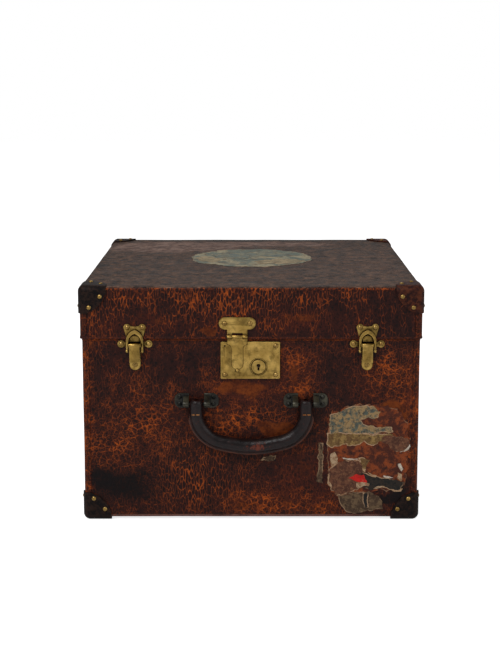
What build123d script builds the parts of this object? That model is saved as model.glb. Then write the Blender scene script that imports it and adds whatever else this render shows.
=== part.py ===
from build123d import *
import os

# A square leather hat box: a board carcass in two halves, covered in leather and lined,
# with brass lock, hasp, two draw catches, two hinges, corner caps and a swinging handle.
# Millimetres, +Z up, the front faces -Y. Lengths below are measured from the middle of the
# case, and every piece is shifted by case_shift when it is written, which centres the whole.

# case
body_half = 200.0
lid_half = 202.0
floor_z = 3.0
seam_z = 223.0
seam_gap = 0.4
lid_top_z = 285.5
leather = 1.6
board = 5.0
lining = 1.0
edge_radius = 5.0
wrap = 8.5
hem = 4.0
lip_thickness = 2.5
lip_low_z = 204.0
lip_high_z = 232.0

# corner caps and rivets
cap_thickness = 1.8
cap_radius = 8.0
cap_reach = 32.0
rivet_near = 11.5
rivet_far = 24.5
dome_radius = 2.8
dome_height = 1.6
shank_radius = 1.1
shank_length = 6.0
hole_length = 6.0
front_way = (0, -1, 0)
back_way = (0, 1, 0)
up = (0, 0, 1)

# lock plate, hasp and bolt
plate_left = -36.0
plate_right = 34.0
plate_low_z = 175.2
plate_high_z = 219.9
plate_thickness = 3.0
recess_depth = 1.8
lock_rivet_inset = 5.0
hasp_x = -16.3
hasp_half_wide = 12.0
hasp_half_narrow = 6.95
hasp_tip_z = 186.6
hasp_funnel_z = 211.5
hasp_gap = 0.35
hasp_thickness = 1.5
hasp_neck_drop = 2.0
hasp_joggle_drop = 5.4
hasp_nib_radius = 1.9
hasp_nib_drop = 1.0
knob_height = 1.4
hasp_pin_z = 226.2
hasp_pin_y = -204.2
hasp_pin_radius = 0.9
knuckle_radius = 2.05
knuckle_half = 5.9
strap_z = 242.0
strap_half_length = 21.8
strap_half_height = 7.4
strap_thickness = 1.4
strap_rivet_offset = 15.0
lug_half_thickness = 1.2
lug_half_height = 3.5
lug_back_y = -195.8
channel_half = 1.8
channel_back_y = -195.2
key_x = 8.7
key_z = 189.8
plug_radius = 8.3
crank_radius = 4.0
crank_offset = 2.83
crank_pin_radius = 0.9
crank_play = 0.25
bolt_front_y = -199.8
bolt_thickness = 2.4
bolt_half_height = 1.4
bolt_tip_x = -13.9
bolt_tail_x = 16.5
keyhole_radius = 2.2
keyhole_half_slot = 1.15
case_left = -24.0
case_right = 22.0
case_low_z = 178.5
case_high_z = 216.0
case_wall = 1.0

# draw catches
catch_x = 137.0
lever_axis_y = -206.6
lever_axis_z = 216.2
link_axis_y = -205.6
link_axis_z = 209.2
lever_half = 6.0
lever_pin_radius = 0.9
link_pin_radius = 0.8
link_thickness = 1.4
catch_plate = 1.2
barrel = 2.4
cheek = 1.2
lever_length = 20.0
lug_inner = 6.2
lug_outer = 7.4
ear_x = 16.2
ear_z = 217.0
base_ear_radius = 4.4
foot_z = 191.8
foot_radius = 6.4
base_top_z = 219.4
link_half = 10.0
link_inner_half = 7.5
link_top_z = 234.6
link_inner_top_z = 230.2
link_shoulder_z = 221.0
link_eye_x = 8.75
link_play = 0.3
keeper_ear_x = 8.9
keeper_ear_z = 237.2
keeper_ear_radius = 4.2
nose_radius = 6.2
nose_z = 221.4
nose_low_z = 220.4
running = 0.08

# handle
handle_leg_x = 64.7
handle_axis_z = 146.0
handle_radius = 8.5
handle_core_radius = 3.0
handle_gap = 0.3
handle_top_z = 151.0
handle_corner_z = 106.0
handle_low_z = 92.6
handle_corner_radius = 37.0
handle_low_radius = 120.0
handle_pin_radius = 1.8
bracket_gap = 9.1
bracket_length = 17.0
bracket_half_height = 8.8
bracket_z = 148.4
bracket_thickness = 1.4
bracket_rivet_x = 11.0
bracket_rivet_z = 4.3
ear_width = 6.5
ear_radius = 3.4

# hinges
hinge_x = 120.0
hinge_half = 30.0
hinge_y = 205.0
barrel_radius = 2.6
hinge_pin_radius = 1.2
leaf = 1.4
leaf_height = 25.0
hinge_rivet_x = 20.0
hinge_rivet_inset = 9.0

# labels
paper = 0.3
top_label_radius = 82.0
top_label_y = 22.0

handle_y = -(body_half + handle_gap + handle_radius)
front_reach = handle_radius - handle_y
back_reach = hinge_y + barrel_radius
case_shift = (front_reach - back_reach) / 2


# ---------------------------------------------------------------- helpers

def span(x0, x1, y0, y1, z0, z1):
    middle = ((x0 + x1) / 2, (y0 + y1) / 2, (z0 + z1) / 2)
    return Pos(*middle) * Box(x1 - x0, y1 - y0, z1 - z0)


def on_front(sketch, depth, thickness):
    """Raises a sketch drawn in x and z from the plane y = -depth towards the viewer."""
    return extrude(Plane.XZ.offset(depth) * sketch, thickness)


def along_x(profile, x0, x1):
    """Runs a profile drawn in y and z from x0 to x1."""
    return extrude(Plane.YZ.offset(x0) * profile, x1 - x0)


def rod(y, z, radius, x0, x1):
    return along_x(Pos(y, z) * Circle(radius), x0, x1)


def bar(x0, x1, z0, z1):
    return Pos((x0 + x1) / 2, (z0 + z1) / 2) * Rectangle(x1 - x0, z1 - z0)


def disc(x, z, radius):
    return Pos(x, z) * Circle(radius)


def rivet():
    ball = (dome_radius**2 + dome_height**2) / (2 * dome_height)
    dome = Pos(0, 0, dome_height - ball) * Sphere(ball)
    dome = dome & span(-4, 4, -4, 4, 0, dome_height)
    return dome + Pos(0, 0, -shank_length / 2) * Cylinder(shank_radius, shank_length)


def set_rivets(places):
    """Rivets at (point, outward direction) pairs, as separate solids."""
    one = rivet()
    return Compound([Plane(origin=point, z_dir=out) * one for point, out in places])


def rivet_holes(spots, depth):
    """Shank holes at (x, z) spots through a plate on the front face y = -depth."""
    return Compound([on_front(disc(x, z, shank_radius), depth - 1, hole_length) for x, z in spots])


# ---------------------------------------------------------------- carcass, leather and lining

def case_form(half, z_open, z_closed, radius):
    """A block with its upright edges and the edges of its closed end rounded."""
    block = span(-half, half, -half, half, min(z_open, z_closed), max(z_open, z_closed))
    if radius == 0:
        return block
    ends = block.faces().sort_by(Axis.Z)
    closed = ends[-1] if z_closed > z_open else ends[0]
    return fillet(block.edges().filter_by(Axis.Z) + closed.edges(), radius)


def case_layers(half, rim_z, closed_z):
    """The leather, board and lining shells of one half of the case, open at rim_z."""
    inward = 1 if rim_z > closed_z else -1
    past_rim = rim_z + inward
    skin = case_form(half, rim_z, closed_z, edge_radius)
    wood_z = closed_z + inward * leather
    wood = case_form(half - leather, past_rim, wood_z, edge_radius - leather)
    cloth_z = wood_z + inward * board
    cloth = case_form(half - leather - board, past_rim, cloth_z, 0)
    room_z = cloth_z + inward * lining
    room = case_form(half - leather - board - lining, past_rim, room_z, 0)
    trim = case_form(half, rim_z, closed_z, 0)
    return skin - wood, (wood - cloth) & trim, (cloth - room) & trim


def leather_panels(shell, half, rim_z, closed_z):
    """Front, back, paired sides and end sheet, cut from one leather shell."""
    inward = 1 if rim_z > closed_z else -1
    hem_z = closed_z + inward * hem
    low, high = min(hem_z, rim_z), max(hem_z, rim_z)
    seam_x = half - wrap
    inner = half - 2 * edge_radius
    front = shell & span(-seam_x, seam_x, -half, -inner, low, high)
    back = shell & span(-seam_x, seam_x, inner, half, low, high)
    left = shell & span(-half, -seam_x, -half, half, low, high)
    right = shell & span(seam_x, half, -half, half, low, high)
    end = shell & span(-half, half, -half, half, min(closed_z, hem_z), max(closed_z, hem_z))
    return front, back, Compound([left, right]), end


def boards(shell, half, rim_z, closed_z):
    """Side boards run the full depth, the others fit between them."""
    inner = half - leather - board
    outer = half - leather
    low, high = min(rim_z, closed_z), max(rim_z, closed_z)
    left = shell & span(-outer, -inner, -outer, outer, low, high)
    right = shell & span(inner, outer, -outer, outer, low, high)
    front = shell & span(-inner, inner, -outer, -inner, low, high)
    back = shell & span(-inner, inner, inner, outer, low, high)
    end = shell & span(-inner, inner, -inner, inner, low, high)
    return front, back, left, right, end


def rim_lip():
    """Four strips standing above the rim, which guide the lid down."""
    outer = body_half - leather - board - lining
    inner = outer - lip_thickness
    strips = [
        span(-outer, -inner, -outer, outer, lip_low_z, lip_high_z),
        span(inner, outer, -outer, outer, lip_low_z, lip_high_z),
        span(-inner, inner, -outer, -inner, lip_low_z, lip_high_z),
        span(-inner, inner, inner, outer, lip_low_z, lip_high_z),
    ]
    return Compound(strips)


# ---------------------------------------------------------------- corner caps

def flap():
    """One flap of a cap, drawn from its corner: straight along both edges, lobed between."""
    out = -6.0
    points = [(out, out), (cap_reach, out), (cap_reach - 0.5, 8), (27, 18), (18, 27)]
    points += [(8, cap_reach - 0.5), (out, cap_reach)]
    outline = make_face(Polyline(*points, close=True))
    lobes = outline.vertices().filter_by(lambda v: v.X > 0 and v.Y > 0)
    return fillet(lobes, 4.0)


def corner_edges(block, corner):
    return block.edges().filter_by(lambda e: any((v - corner).length < 0.01 for v in
                                                 [Vector(*w) for w in e.vertices()]))


def corner_cap(end_thickness, end_rivets):
    """A cap over the corner at the origin of a case that fills +X, +Y and +Z."""
    size = 60
    low = Vector(-cap_thickness, -cap_thickness, -end_thickness)
    outer = span(low.X, size, low.Y, size, low.Z, size)
    outer = fillet(corner_edges(outer, low), cap_radius)
    inner = span(0, size + 1, 0, size + 1, 0, size + 1)
    inner = fillet(corner_edges(inner, Vector(0, 0, 0)), edge_radius)
    depth = cap_radius + 1
    outline = flap()
    end_flap = extrude(Pos(0, 0, low.Z) * outline, depth + end_thickness)
    front_flap = extrude(Plane.XZ.offset(-depth) * outline, depth + cap_thickness)
    side_flap = extrude(Plane.YZ.offset(-cap_thickness) * outline, depth + cap_thickness)
    cap = (outer - inner) & (end_flap + front_flap + side_flap)
    for u, v in ((rivet_near, rivet_far), (rivet_far, rivet_near)):
        cap -= Pos(u, 0, v) * Rot(90, 0, 0) * Cylinder(shank_radius, 6)
        cap -= Pos(0, u, v) * Rot(0, 90, 0) * Cylinder(shank_radius, 6)
        if end_rivets:
            cap -= Pos(u, v, 0) * Cylinder(shank_radius, 6)
    return cap


def place_cap(cap, side_x, side_y, half, z, top):
    if side_x > 0:
        cap = mirror(cap, Plane.YZ)
    if side_y > 0:
        cap = mirror(cap, Plane.XZ)
    if top:
        cap = mirror(cap, Plane.XY)
    return Pos(side_x * half, side_y * half, z) * cap


def cap_rivets(half, z, inward, end_rivets):
    """Places of the rivets that hold the four caps of one half of the case."""
    places = []
    out = half + cap_thickness
    for side_x in (-1, 1):
        for side_y in (-1, 1):
            for u, v in ((rivet_near, rivet_far), (rivet_far, rivet_near)):
                height = z + inward * v
                places.append(((side_x * (half - u), side_y * out, height), (0, side_y, 0)))
                places.append(((side_x * out, side_y * (half - u), height), (side_x, 0, 0)))
                if end_rivets:
                    spot = (side_x * (half - u), side_y * (half - v), z + cap_thickness)
                    places.append((spot, up))
    return places


# ---------------------------------------------------------------- lock

def hasp_outline():
    """The tongue in x and z: wide at the top, funnelled, with a round tip and a nib."""
    wide = bar(-hasp_half_wide, hasp_half_wide, hasp_funnel_z, hasp_pin_z - 2.4)
    narrow = bar(-hasp_half_narrow, hasp_half_narrow, hasp_tip_z + hasp_half_narrow, hasp_funnel_z + 1)
    tip = disc(0, hasp_tip_z + hasp_half_narrow, hasp_half_narrow)
    curve = hasp_half_wide - hasp_half_narrow
    scoops = disc(-hasp_half_wide, hasp_funnel_z, curve) + disc(hasp_half_wide, hasp_funnel_z, curve)
    nib = disc(0, hasp_tip_z - hasp_nib_drop, hasp_nib_radius)
    return Pos(hasp_x, 0) * (wide - scoops + narrow + tip + nib)


def hasp():
    """A joggled brass tongue with a middle knuckle and an eyed lug for the bolt."""
    z = hasp_pin_z
    face = -body_half - plate_thickness
    behind = face + hasp_thickness
    neck_face = hasp_pin_y - 1.0
    neck_behind = neck_face + hasp_thickness + 0.1
    low = hasp_tip_z - 2 * hasp_nib_radius
    profile = Polyline((neck_face, z), (neck_face, z - hasp_neck_drop), (face, z - hasp_joggle_drop),
                       (face, low), (behind, low), (behind, z - hasp_joggle_drop),
                       (neck_behind, z - hasp_neck_drop), (neck_behind, z), close=True)
    sheet = along_x(make_face(profile), hasp_x - hasp_half_wide, hasp_x + hasp_half_wide)
    neck = bar(hasp_x - knuckle_half, hasp_x + knuckle_half, z - 3, z)
    tongue = sheet & on_front(hasp_outline() + neck, body_half, 8)
    relief = knuckle_radius + 0.25
    tongue -= rod(hasp_pin_y, z, relief, hasp_x - hasp_half_wide, hasp_x - knuckle_half)
    tongue -= rod(hasp_pin_y, z, relief, hasp_x + knuckle_half, hasp_x + hasp_half_wide)
    tongue += rod(hasp_pin_y, z, knuckle_radius, hasp_x - knuckle_half, hasp_x + knuckle_half)
    lug = span(hasp_x - lug_half_thickness, hasp_x + lug_half_thickness, behind - 0.1, lug_back_y,
               key_z - lug_half_height, key_z + lug_half_height)
    eye = span(hasp_x - 3, hasp_x + 3, bolt_front_y - 0.3, bolt_front_y + bolt_thickness + 0.3,
               key_z - bolt_half_height - 0.3, key_z + bolt_half_height + 0.3)
    knob = on_front(disc(hasp_x, hasp_tip_z - hasp_nib_drop, hasp_nib_radius), -face, knob_height)
    knob = fillet(knob.faces().sort_by(Axis.Y)[0].edges(), 1.0)
    tongue = tongue + (lug - eye) + knob
    return tongue - rod(hasp_pin_y, z, hasp_pin_radius + running, hasp_x - 8, hasp_x + 8)


def hasp_strap():
    """The plate on the lid that carries the hasp between two side knuckles."""
    stadium = Pos(hasp_x, strap_z) * SlotOverall(2 * strap_half_length, 2 * strap_half_height)
    left, right = hasp_x - hasp_half_wide, hasp_x + hasp_half_wide
    tail = bar(left, right, hasp_pin_z, strap_z)
    window = bar(hasp_x - knuckle_half - 0.3, hasp_x + knuckle_half + 0.3, hasp_pin_z - 1, hasp_pin_z + 4.2)
    strap = on_front(stadium + tail - window, lid_half, strap_thickness)
    inner = knuckle_half + 0.3
    for x0, x1 in ((left, hasp_x - inner), (hasp_x + inner, right)):
        strap += rod(hasp_pin_y, hasp_pin_z, knuckle_radius, x0, x1)
    strap -= rod(hasp_pin_y, hasp_pin_z, hasp_pin_radius, left - 1, right + 1)
    return strap - rivet_holes(strap_rivets(), lid_half)


def strap_rivets():
    return [(hasp_x - strap_rivet_offset, strap_z), (hasp_x + strap_rivet_offset, strap_z)]


def hasp_pin():
    return rod(hasp_pin_y, hasp_pin_z, hasp_pin_radius, hasp_x - hasp_half_wide, hasp_x + hasp_half_wide)


def lock_rivets():
    """Three rivets remain; the fourth corner has only its hole."""
    low, high = plate_low_z + lock_rivet_inset, plate_high_z - lock_rivet_inset
    left, right = plate_left + lock_rivet_inset, plate_right - lock_rivet_inset
    return [(left, low), (right, low), (right, high)]


def lock_plate():
    """The brass face plate, sunk where the hasp lies and bored for the key plug."""
    outline = fillet(bar(plate_left, plate_right, plate_low_z, plate_high_z).vertices(), 1.5)
    plate = on_front(outline, body_half, plate_thickness)
    plate = fillet(plate.faces().sort_by(Axis.Y)[0].edges(), 0.5)
    seat = offset(hasp_outline(), hasp_gap)
    plate -= on_front(seat, body_half + plate_thickness - recess_depth, 4)
    slot_low = key_z - lug_half_height - 1.3
    top_slot = bar(hasp_x - channel_half, hasp_x + channel_half, slot_low, plate_high_z + 1)
    plate -= on_front(top_slot, body_half - 1, 6)
    plate -= on_front(disc(key_x, key_z, plug_radius + 0.1), body_half - 1, 6)
    plate -= on_front(disc(key_x, key_z, plug_radius + 2.4), body_half + plate_thickness - 0.6, 2)
    empty = (plate_left + lock_rivet_inset, plate_high_z - lock_rivet_inset)
    return plate - rivet_holes(lock_rivets() + [empty], body_half)


def lock_pocket():
    """The room that the lock case takes out of leather, board and lining."""
    back = body_half - leather - board - lining
    return span(case_left, case_right, -body_half - 1, -back + 1, case_low_z, case_high_z)


def lug_channel(z_low):
    return span(hasp_x - channel_half, hasp_x + channel_half, -body_half - 1, channel_back_y,
                z_low, seam_z + 1)


def lock_case():
    """A tray behind the plate, with two guides for the bolt."""
    back_y = -(body_half - leather - board - lining)
    outer = span(case_left, case_right, -body_half, back_y, case_low_z, case_high_z)
    room = span(case_left + case_wall, case_right - case_wall, -body_half - 1, back_y - case_wall,
                case_low_z + case_wall, case_high_z - case_wall)
    tray = outer - room - lug_channel(case_high_z - 2)
    guide = bolt_half_height + 0.2
    for z0, z1 in ((key_z + guide, key_z + guide + 2), (key_z - guide - 2, key_z - guide)):
        tray += span(-9, -3, bolt_front_y - 0.1, back_y, z0, z1)
    return tray


def key_plug():
    """The turning barrel with its keyhole, and the crank pin that drives the bolt."""
    front = body_half + plate_thickness + 0.8
    plug = on_front(disc(key_x, key_z, plug_radius), body_half + 0.3, front - body_half - 0.3)
    plug = fillet(plug.faces().sort_by(Axis.Y)[0].edges(), 0.5)
    keyhole = disc(key_x, key_z + 1.6, keyhole_radius)
    keyhole += bar(key_x - keyhole_half_slot, key_x + keyhole_half_slot, key_z - 4.2, key_z + 1.6)
    plug -= on_front(keyhole, body_half - 1, 8)
    pin = on_front(disc(key_x + crank_offset, key_z - crank_offset, crank_pin_radius), 197.7, 2.8)
    return plug + pin


def lock_bolt():
    """A sliding bar whose end passes through the eye of the hasp's lug when locked."""
    slot_x = key_x + crank_offset
    back_y = bolt_front_y + bolt_thickness
    shoot = span(bolt_tip_x, bolt_tail_x, bolt_front_y, back_y,
                 key_z - bolt_half_height, key_z + bolt_half_height)
    yoke = span(slot_x - 3.2, slot_x + 3.2, bolt_front_y, back_y - 0.4, key_z - crank_radius - 3, key_z - 1.2)
    half = crank_pin_radius + crank_play
    slot = span(slot_x - half, slot_x + half, bolt_front_y - 1, back_y + 1,
                key_z - crank_radius - 1.4, key_z - 1.6)
    return shoot + yoke - slot


# ---------------------------------------------------------------- draw catches

def catch_base_rivets(x):
    return [(x - ear_x, ear_z), (x + ear_x, ear_z), (x, foot_z)]


def catch_base(x):
    """The plate on the body, with side ears, a foot tab and two lugs for the lever."""
    shape = bar(x - foot_radius, x + foot_radius, foot_z, base_top_z) + disc(x, foot_z, foot_radius)
    shape += bar(x - ear_x, x + ear_x, base_top_z - 5.6, base_top_z)
    shape += disc(x - ear_x, ear_z, base_ear_radius) + disc(x + ear_x, ear_z, base_ear_radius)
    base = on_front(shape, body_half, catch_plate)
    for x0, x1 in ((x - lug_outer, x - lug_inner), (x + lug_inner, x + lug_outer)):
        lug = Pos(lever_axis_y, lever_axis_z) * Circle(barrel)
        stem_y = (lever_axis_y - body_half) / 2
        lug += Pos(stem_y, lever_axis_z) * Rectangle(-lever_axis_y - body_half, 2 * barrel)
        base += along_x(lug, x0, x1)
    base -= rod(lever_axis_y, lever_axis_z, lever_pin_radius, x - lug_outer - 1, x + lug_outer + 1)
    return base - rivet_holes(catch_base_rivets(x), body_half)


def catch_lever(x):
    """The thumb lever: rolled over its pin at the top, with cheeks that hold the link pin."""
    y, z = lever_axis_y, lever_axis_z
    face = y - barrel
    profile = Polyline((face, z), (face + 0.9, z - 16), (face - 0.6, z - lever_length),
                       (face + 0.9, z - lever_length - 0.3), (face + 2.4, z - 16), (face + 1.6, z), close=True)
    lever = along_x(make_face(profile), x - lever_half, x + lever_half)
    lever += rod(y, z, barrel, x - lever_half, x + lever_half)
    behind = link_axis_y + link_pin_radius
    for x0, x1 in ((x - lever_half, x - lever_half + cheek), (x + lever_half - cheek, x + lever_half)):
        outline = Polyline((face + 1, z), (face + 1.4, z - 11), (behind + 0.8, z - 9.5), (behind + 1.1, z - 5),
                           (y, z), close=True)
        lever += along_x(make_face(outline), x0, x1)
    lever -= rod(y, z, lever_pin_radius + running, x - lever_half - 1, x + lever_half + 1)
    return lever - rod(link_axis_y, link_axis_z, link_pin_radius, x - lever_half - 1, x + lever_half + 1)


def link_outline(half, top_z, shoulder_z, low_z):
    """A pointed arch on two straight sides."""
    sides = Polyline((half, shoulder_z), (half, low_z), (-half, low_z), (-half, shoulder_z))
    bulge = 0.62 * half
    middle_z = shoulder_z + 0.72 * (top_z - shoulder_z)
    arch = ThreePointArc((-half, shoulder_z), (-bulge, middle_z), (0, top_z))
    back = ThreePointArc((0, top_z), (bulge, middle_z), (half, shoulder_z))
    return make_face(sides + arch + back)


def catch_link(x):
    """The arched stirrup that drops over the keeper's nose."""
    ring = link_outline(link_half, link_top_z, link_shoulder_z, link_axis_z)
    ring -= link_outline(link_inner_half, link_inner_top_z, link_shoulder_z - 1.5, link_axis_z - 1)
    ring += disc(-link_eye_x, link_axis_z, 2.0) + disc(link_eye_x, link_axis_z, 2.0)
    link = on_front(Pos(x, 0) * ring, -link_axis_y - link_thickness / 2, link_thickness)
    for side in (-1, 1):
        eye_x = x + side * link_eye_x
        link += rod(link_axis_y, link_axis_z, 1.7, eye_x - 1.2, eye_x + 1.2)
    return link - rod(link_axis_y, link_axis_z, link_pin_radius + running, x - 12, x + 12)


def link_pin(x):
    return rod(link_axis_y, link_axis_z, link_pin_radius, x - 10.3, x + 10.3)


def catch_pins():
    return Compound([rod(lever_axis_y, lever_axis_z, lever_pin_radius, x - lug_outer, x + lug_outer)
                     for x in (-catch_x, catch_x)])


def keeper_rivets(x):
    return [(x - keeper_ear_x, keeper_ear_z), (x + keeper_ear_x, keeper_ear_z)]


def keeper(x):
    """The plate on the lid, with two ears and the rounded nose that the link drops over."""
    right = [(nose_radius, nose_low_z), (9.5, 224.0), (12.4, 234.5), (9.0, 239.5)]
    left = [(-u, z) for u, z in reversed(right)]
    flank = make_face(Polyline(*right, (0, 238.2), *left, close=True))
    shape = flank + disc(-keeper_ear_x, keeper_ear_z, keeper_ear_radius)
    shape += disc(keeper_ear_x, keeper_ear_z, keeper_ear_radius)
    plate = on_front(Pos(x, 0) * shape, lid_half, catch_plate)
    nose = disc(x, nose_z, nose_radius) & bar(x - 8, x + 8, nose_low_z, nose_z + 10)
    height = -link_axis_y - link_thickness / 2 - link_play - lid_half
    plate += on_front(nose, lid_half, height)
    return plate - rivet_holes(keeper_rivets(x), lid_half)


# ---------------------------------------------------------------- handle

def handle_path():
    corners = [(-handle_leg_x, handle_top_z), (-handle_leg_x, handle_corner_z), (0, handle_low_z),
               (handle_leg_x, handle_corner_z), (handle_leg_x, handle_top_z)]
    radii = [handle_corner_radius, handle_low_radius, handle_corner_radius]
    return Plane.XZ.offset(-handle_y) * FilletPolyline(*corners, radius=radii)


def handle_tube(radius):
    path = handle_path()
    start = Plane(origin=path @ 0, z_dir=path % 0)
    return sweep(start * Circle(radius), path=path)


def handle_pieces():
    """The leather grip and its core, both bored for the pins."""
    bore = Compound([rod(handle_y, handle_axis_z, handle_pin_radius + running, x - 12, x + 12)
                              for x in (-handle_leg_x, handle_leg_x)])
    core = handle_tube(handle_core_radius)
    low = span(-100, 100, handle_y - 20, handle_y + 20, handle_low_z - 20, handle_axis_z)
    rounded_ends = low + rod(handle_y, handle_axis_z, handle_radius, -100, 100)
    grip = (handle_tube(handle_radius) - core) & rounded_ends
    return grip - bore, (core & rounded_ends) - bore


def bracket(facing_x, side):
    """A japanned bracket: its ear stands at facing_x and its plate runs away from the leg."""
    plate = bar(0, bracket_length, bracket_z - bracket_half_height, bracket_z + bracket_half_height)
    far = plate.vertices().filter_by(lambda v: v.X > 1)
    plate = fillet(far, 7.0)
    bracket_plate = on_front(plate, body_half, bracket_thickness)
    bracket_plate = fillet(bracket_plate.faces().sort_by(Axis.Y)[0].edges(), 0.5)
    root = -body_half
    high, low = bracket_z + 6.5, bracket_z - 6.8
    web = make_face(Polyline((root, high), (root - 3.2, high - 0.5), (handle_y - 1, handle_axis_z + 3.2),
                             (handle_y - 1, handle_axis_z - 3.2), (root - 3.2, low + 0.4), (root, low),
                             close=True))
    web += Pos(handle_y, handle_axis_z) * Circle(ear_radius)
    web -= Pos(handle_y - 5.2, handle_axis_z) * Rectangle(4, 12)
    piece = bracket_plate + along_x(web, 0, ear_width)
    piece -= rod(handle_y, handle_axis_z, handle_pin_radius, -1, ear_width + 1)
    piece -= rivet_holes([(bracket_rivet_x, bracket_z - bracket_rivet_z),
                          (bracket_rivet_x, bracket_z + bracket_rivet_z)], body_half)
    if side < 0:
        piece = mirror(piece, Plane.YZ)
    return Pos(facing_x, 0, 0) * piece


def bracket_pair(leg_x):
    return Compound([bracket(leg_x + side * bracket_gap, side) for side in (-1, 1)])


def bracket_rivet_places():
    places = []
    for leg_x in (-handle_leg_x, handle_leg_x):
        for side in (-1, 1):
            x = leg_x + side * (bracket_gap + bracket_rivet_x)
            for offset_z in (-bracket_rivet_z, bracket_rivet_z):
                places.append(((x, -body_half - bracket_thickness, bracket_z + offset_z), front_way))
    return places


def handle_pins():
    reach = bracket_gap + ear_width
    return Compound([rod(handle_y, handle_axis_z, handle_pin_radius, x - reach, x + reach)
                              for x in (-handle_leg_x, handle_leg_x)])


# ---------------------------------------------------------------- hinges

def knuckle_spans(x):
    """Five knuckles: body, lid, body, lid, body."""
    width = 2 * hinge_half / 5
    return [(x - hinge_half + i * width, x - hinge_half + (i + 1) * width) for i in range(5)]


def hinge_rivets(x, z):
    return [(x - hinge_rivet_x, z), (x, z), (x + hinge_rivet_x, z)]


def back_holes(spots, y):
    return Compound([Pos(x, y, z) * Rot(90, 0, 0) * Cylinder(shank_radius, hole_length) for x, z in spots])


def hinge_body_leaf(x):
    low = seam_z - leaf_height
    part = span(x - hinge_half, x + hinge_half, body_half, body_half + leaf, low, seam_z - 1.4)
    for x0, x1 in knuckle_spans(x)[0::2]:
        part += rod(hinge_y, seam_z, barrel_radius, x0, x1)
        part += span(x0, x1, body_half, hinge_y + 0.5, seam_z - 3.4, seam_z - 1.4)
    part -= rod(hinge_y, seam_z, hinge_pin_radius, x - 40, x + 40)
    return part - back_holes(hinge_rivets(x, low + hinge_rivet_inset), body_half)


def hinge_lid_leaf(x):
    high = seam_z + leaf_height
    part = span(x - hinge_half, x + hinge_half, lid_half, lid_half + leaf, seam_z + 3.2, high)
    for x0, x1 in knuckle_spans(x)[1::2]:
        part += rod(hinge_y, seam_z, barrel_radius, x0 + 0.3, x1 - 0.3)
        part += span(x0 + 0.3, x1 - 0.3, lid_half, hinge_y - 1.4, seam_z + 0.4, seam_z + 4)
    part -= rod(hinge_y, seam_z, hinge_pin_radius + running, x - 40, x + 40)
    return part - back_holes(hinge_rivets(x, high - hinge_rivet_inset), lid_half)


def hinge_pins():
    return Compound([rod(hinge_y, seam_z, hinge_pin_radius, x - hinge_half, x + hinge_half)
                              for x in (-hinge_x, hinge_x)])


# ---------------------------------------------------------------- paper labels

def top_label():
    sheet = Ellipse(top_label_radius, top_label_radius - 3)
    return extrude(Pos(0, top_label_y, lid_top_z) * sheet, paper)


def front_labels():
    """The torn travel label at the lower right and a narrow strip beside it."""
    torn = Polyline((88, 92), (92, 140), (100, 143), (160, 143), (168, 135), (172, 112), (188, 112), (188, 92),
                    (168, 90), (166, 70), (182, 62), (182, 42), (160, 38), (157, 11), (105, 11), (103, 31),
                    (92, 36), close=True)
    main = on_front(make_face(torn), body_half, paper)
    strip = on_front(bar(78, 85, 46, 99), body_half, paper)
    return Compound([main, strip])


# ---------------------------------------------------------------- assembly

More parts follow.
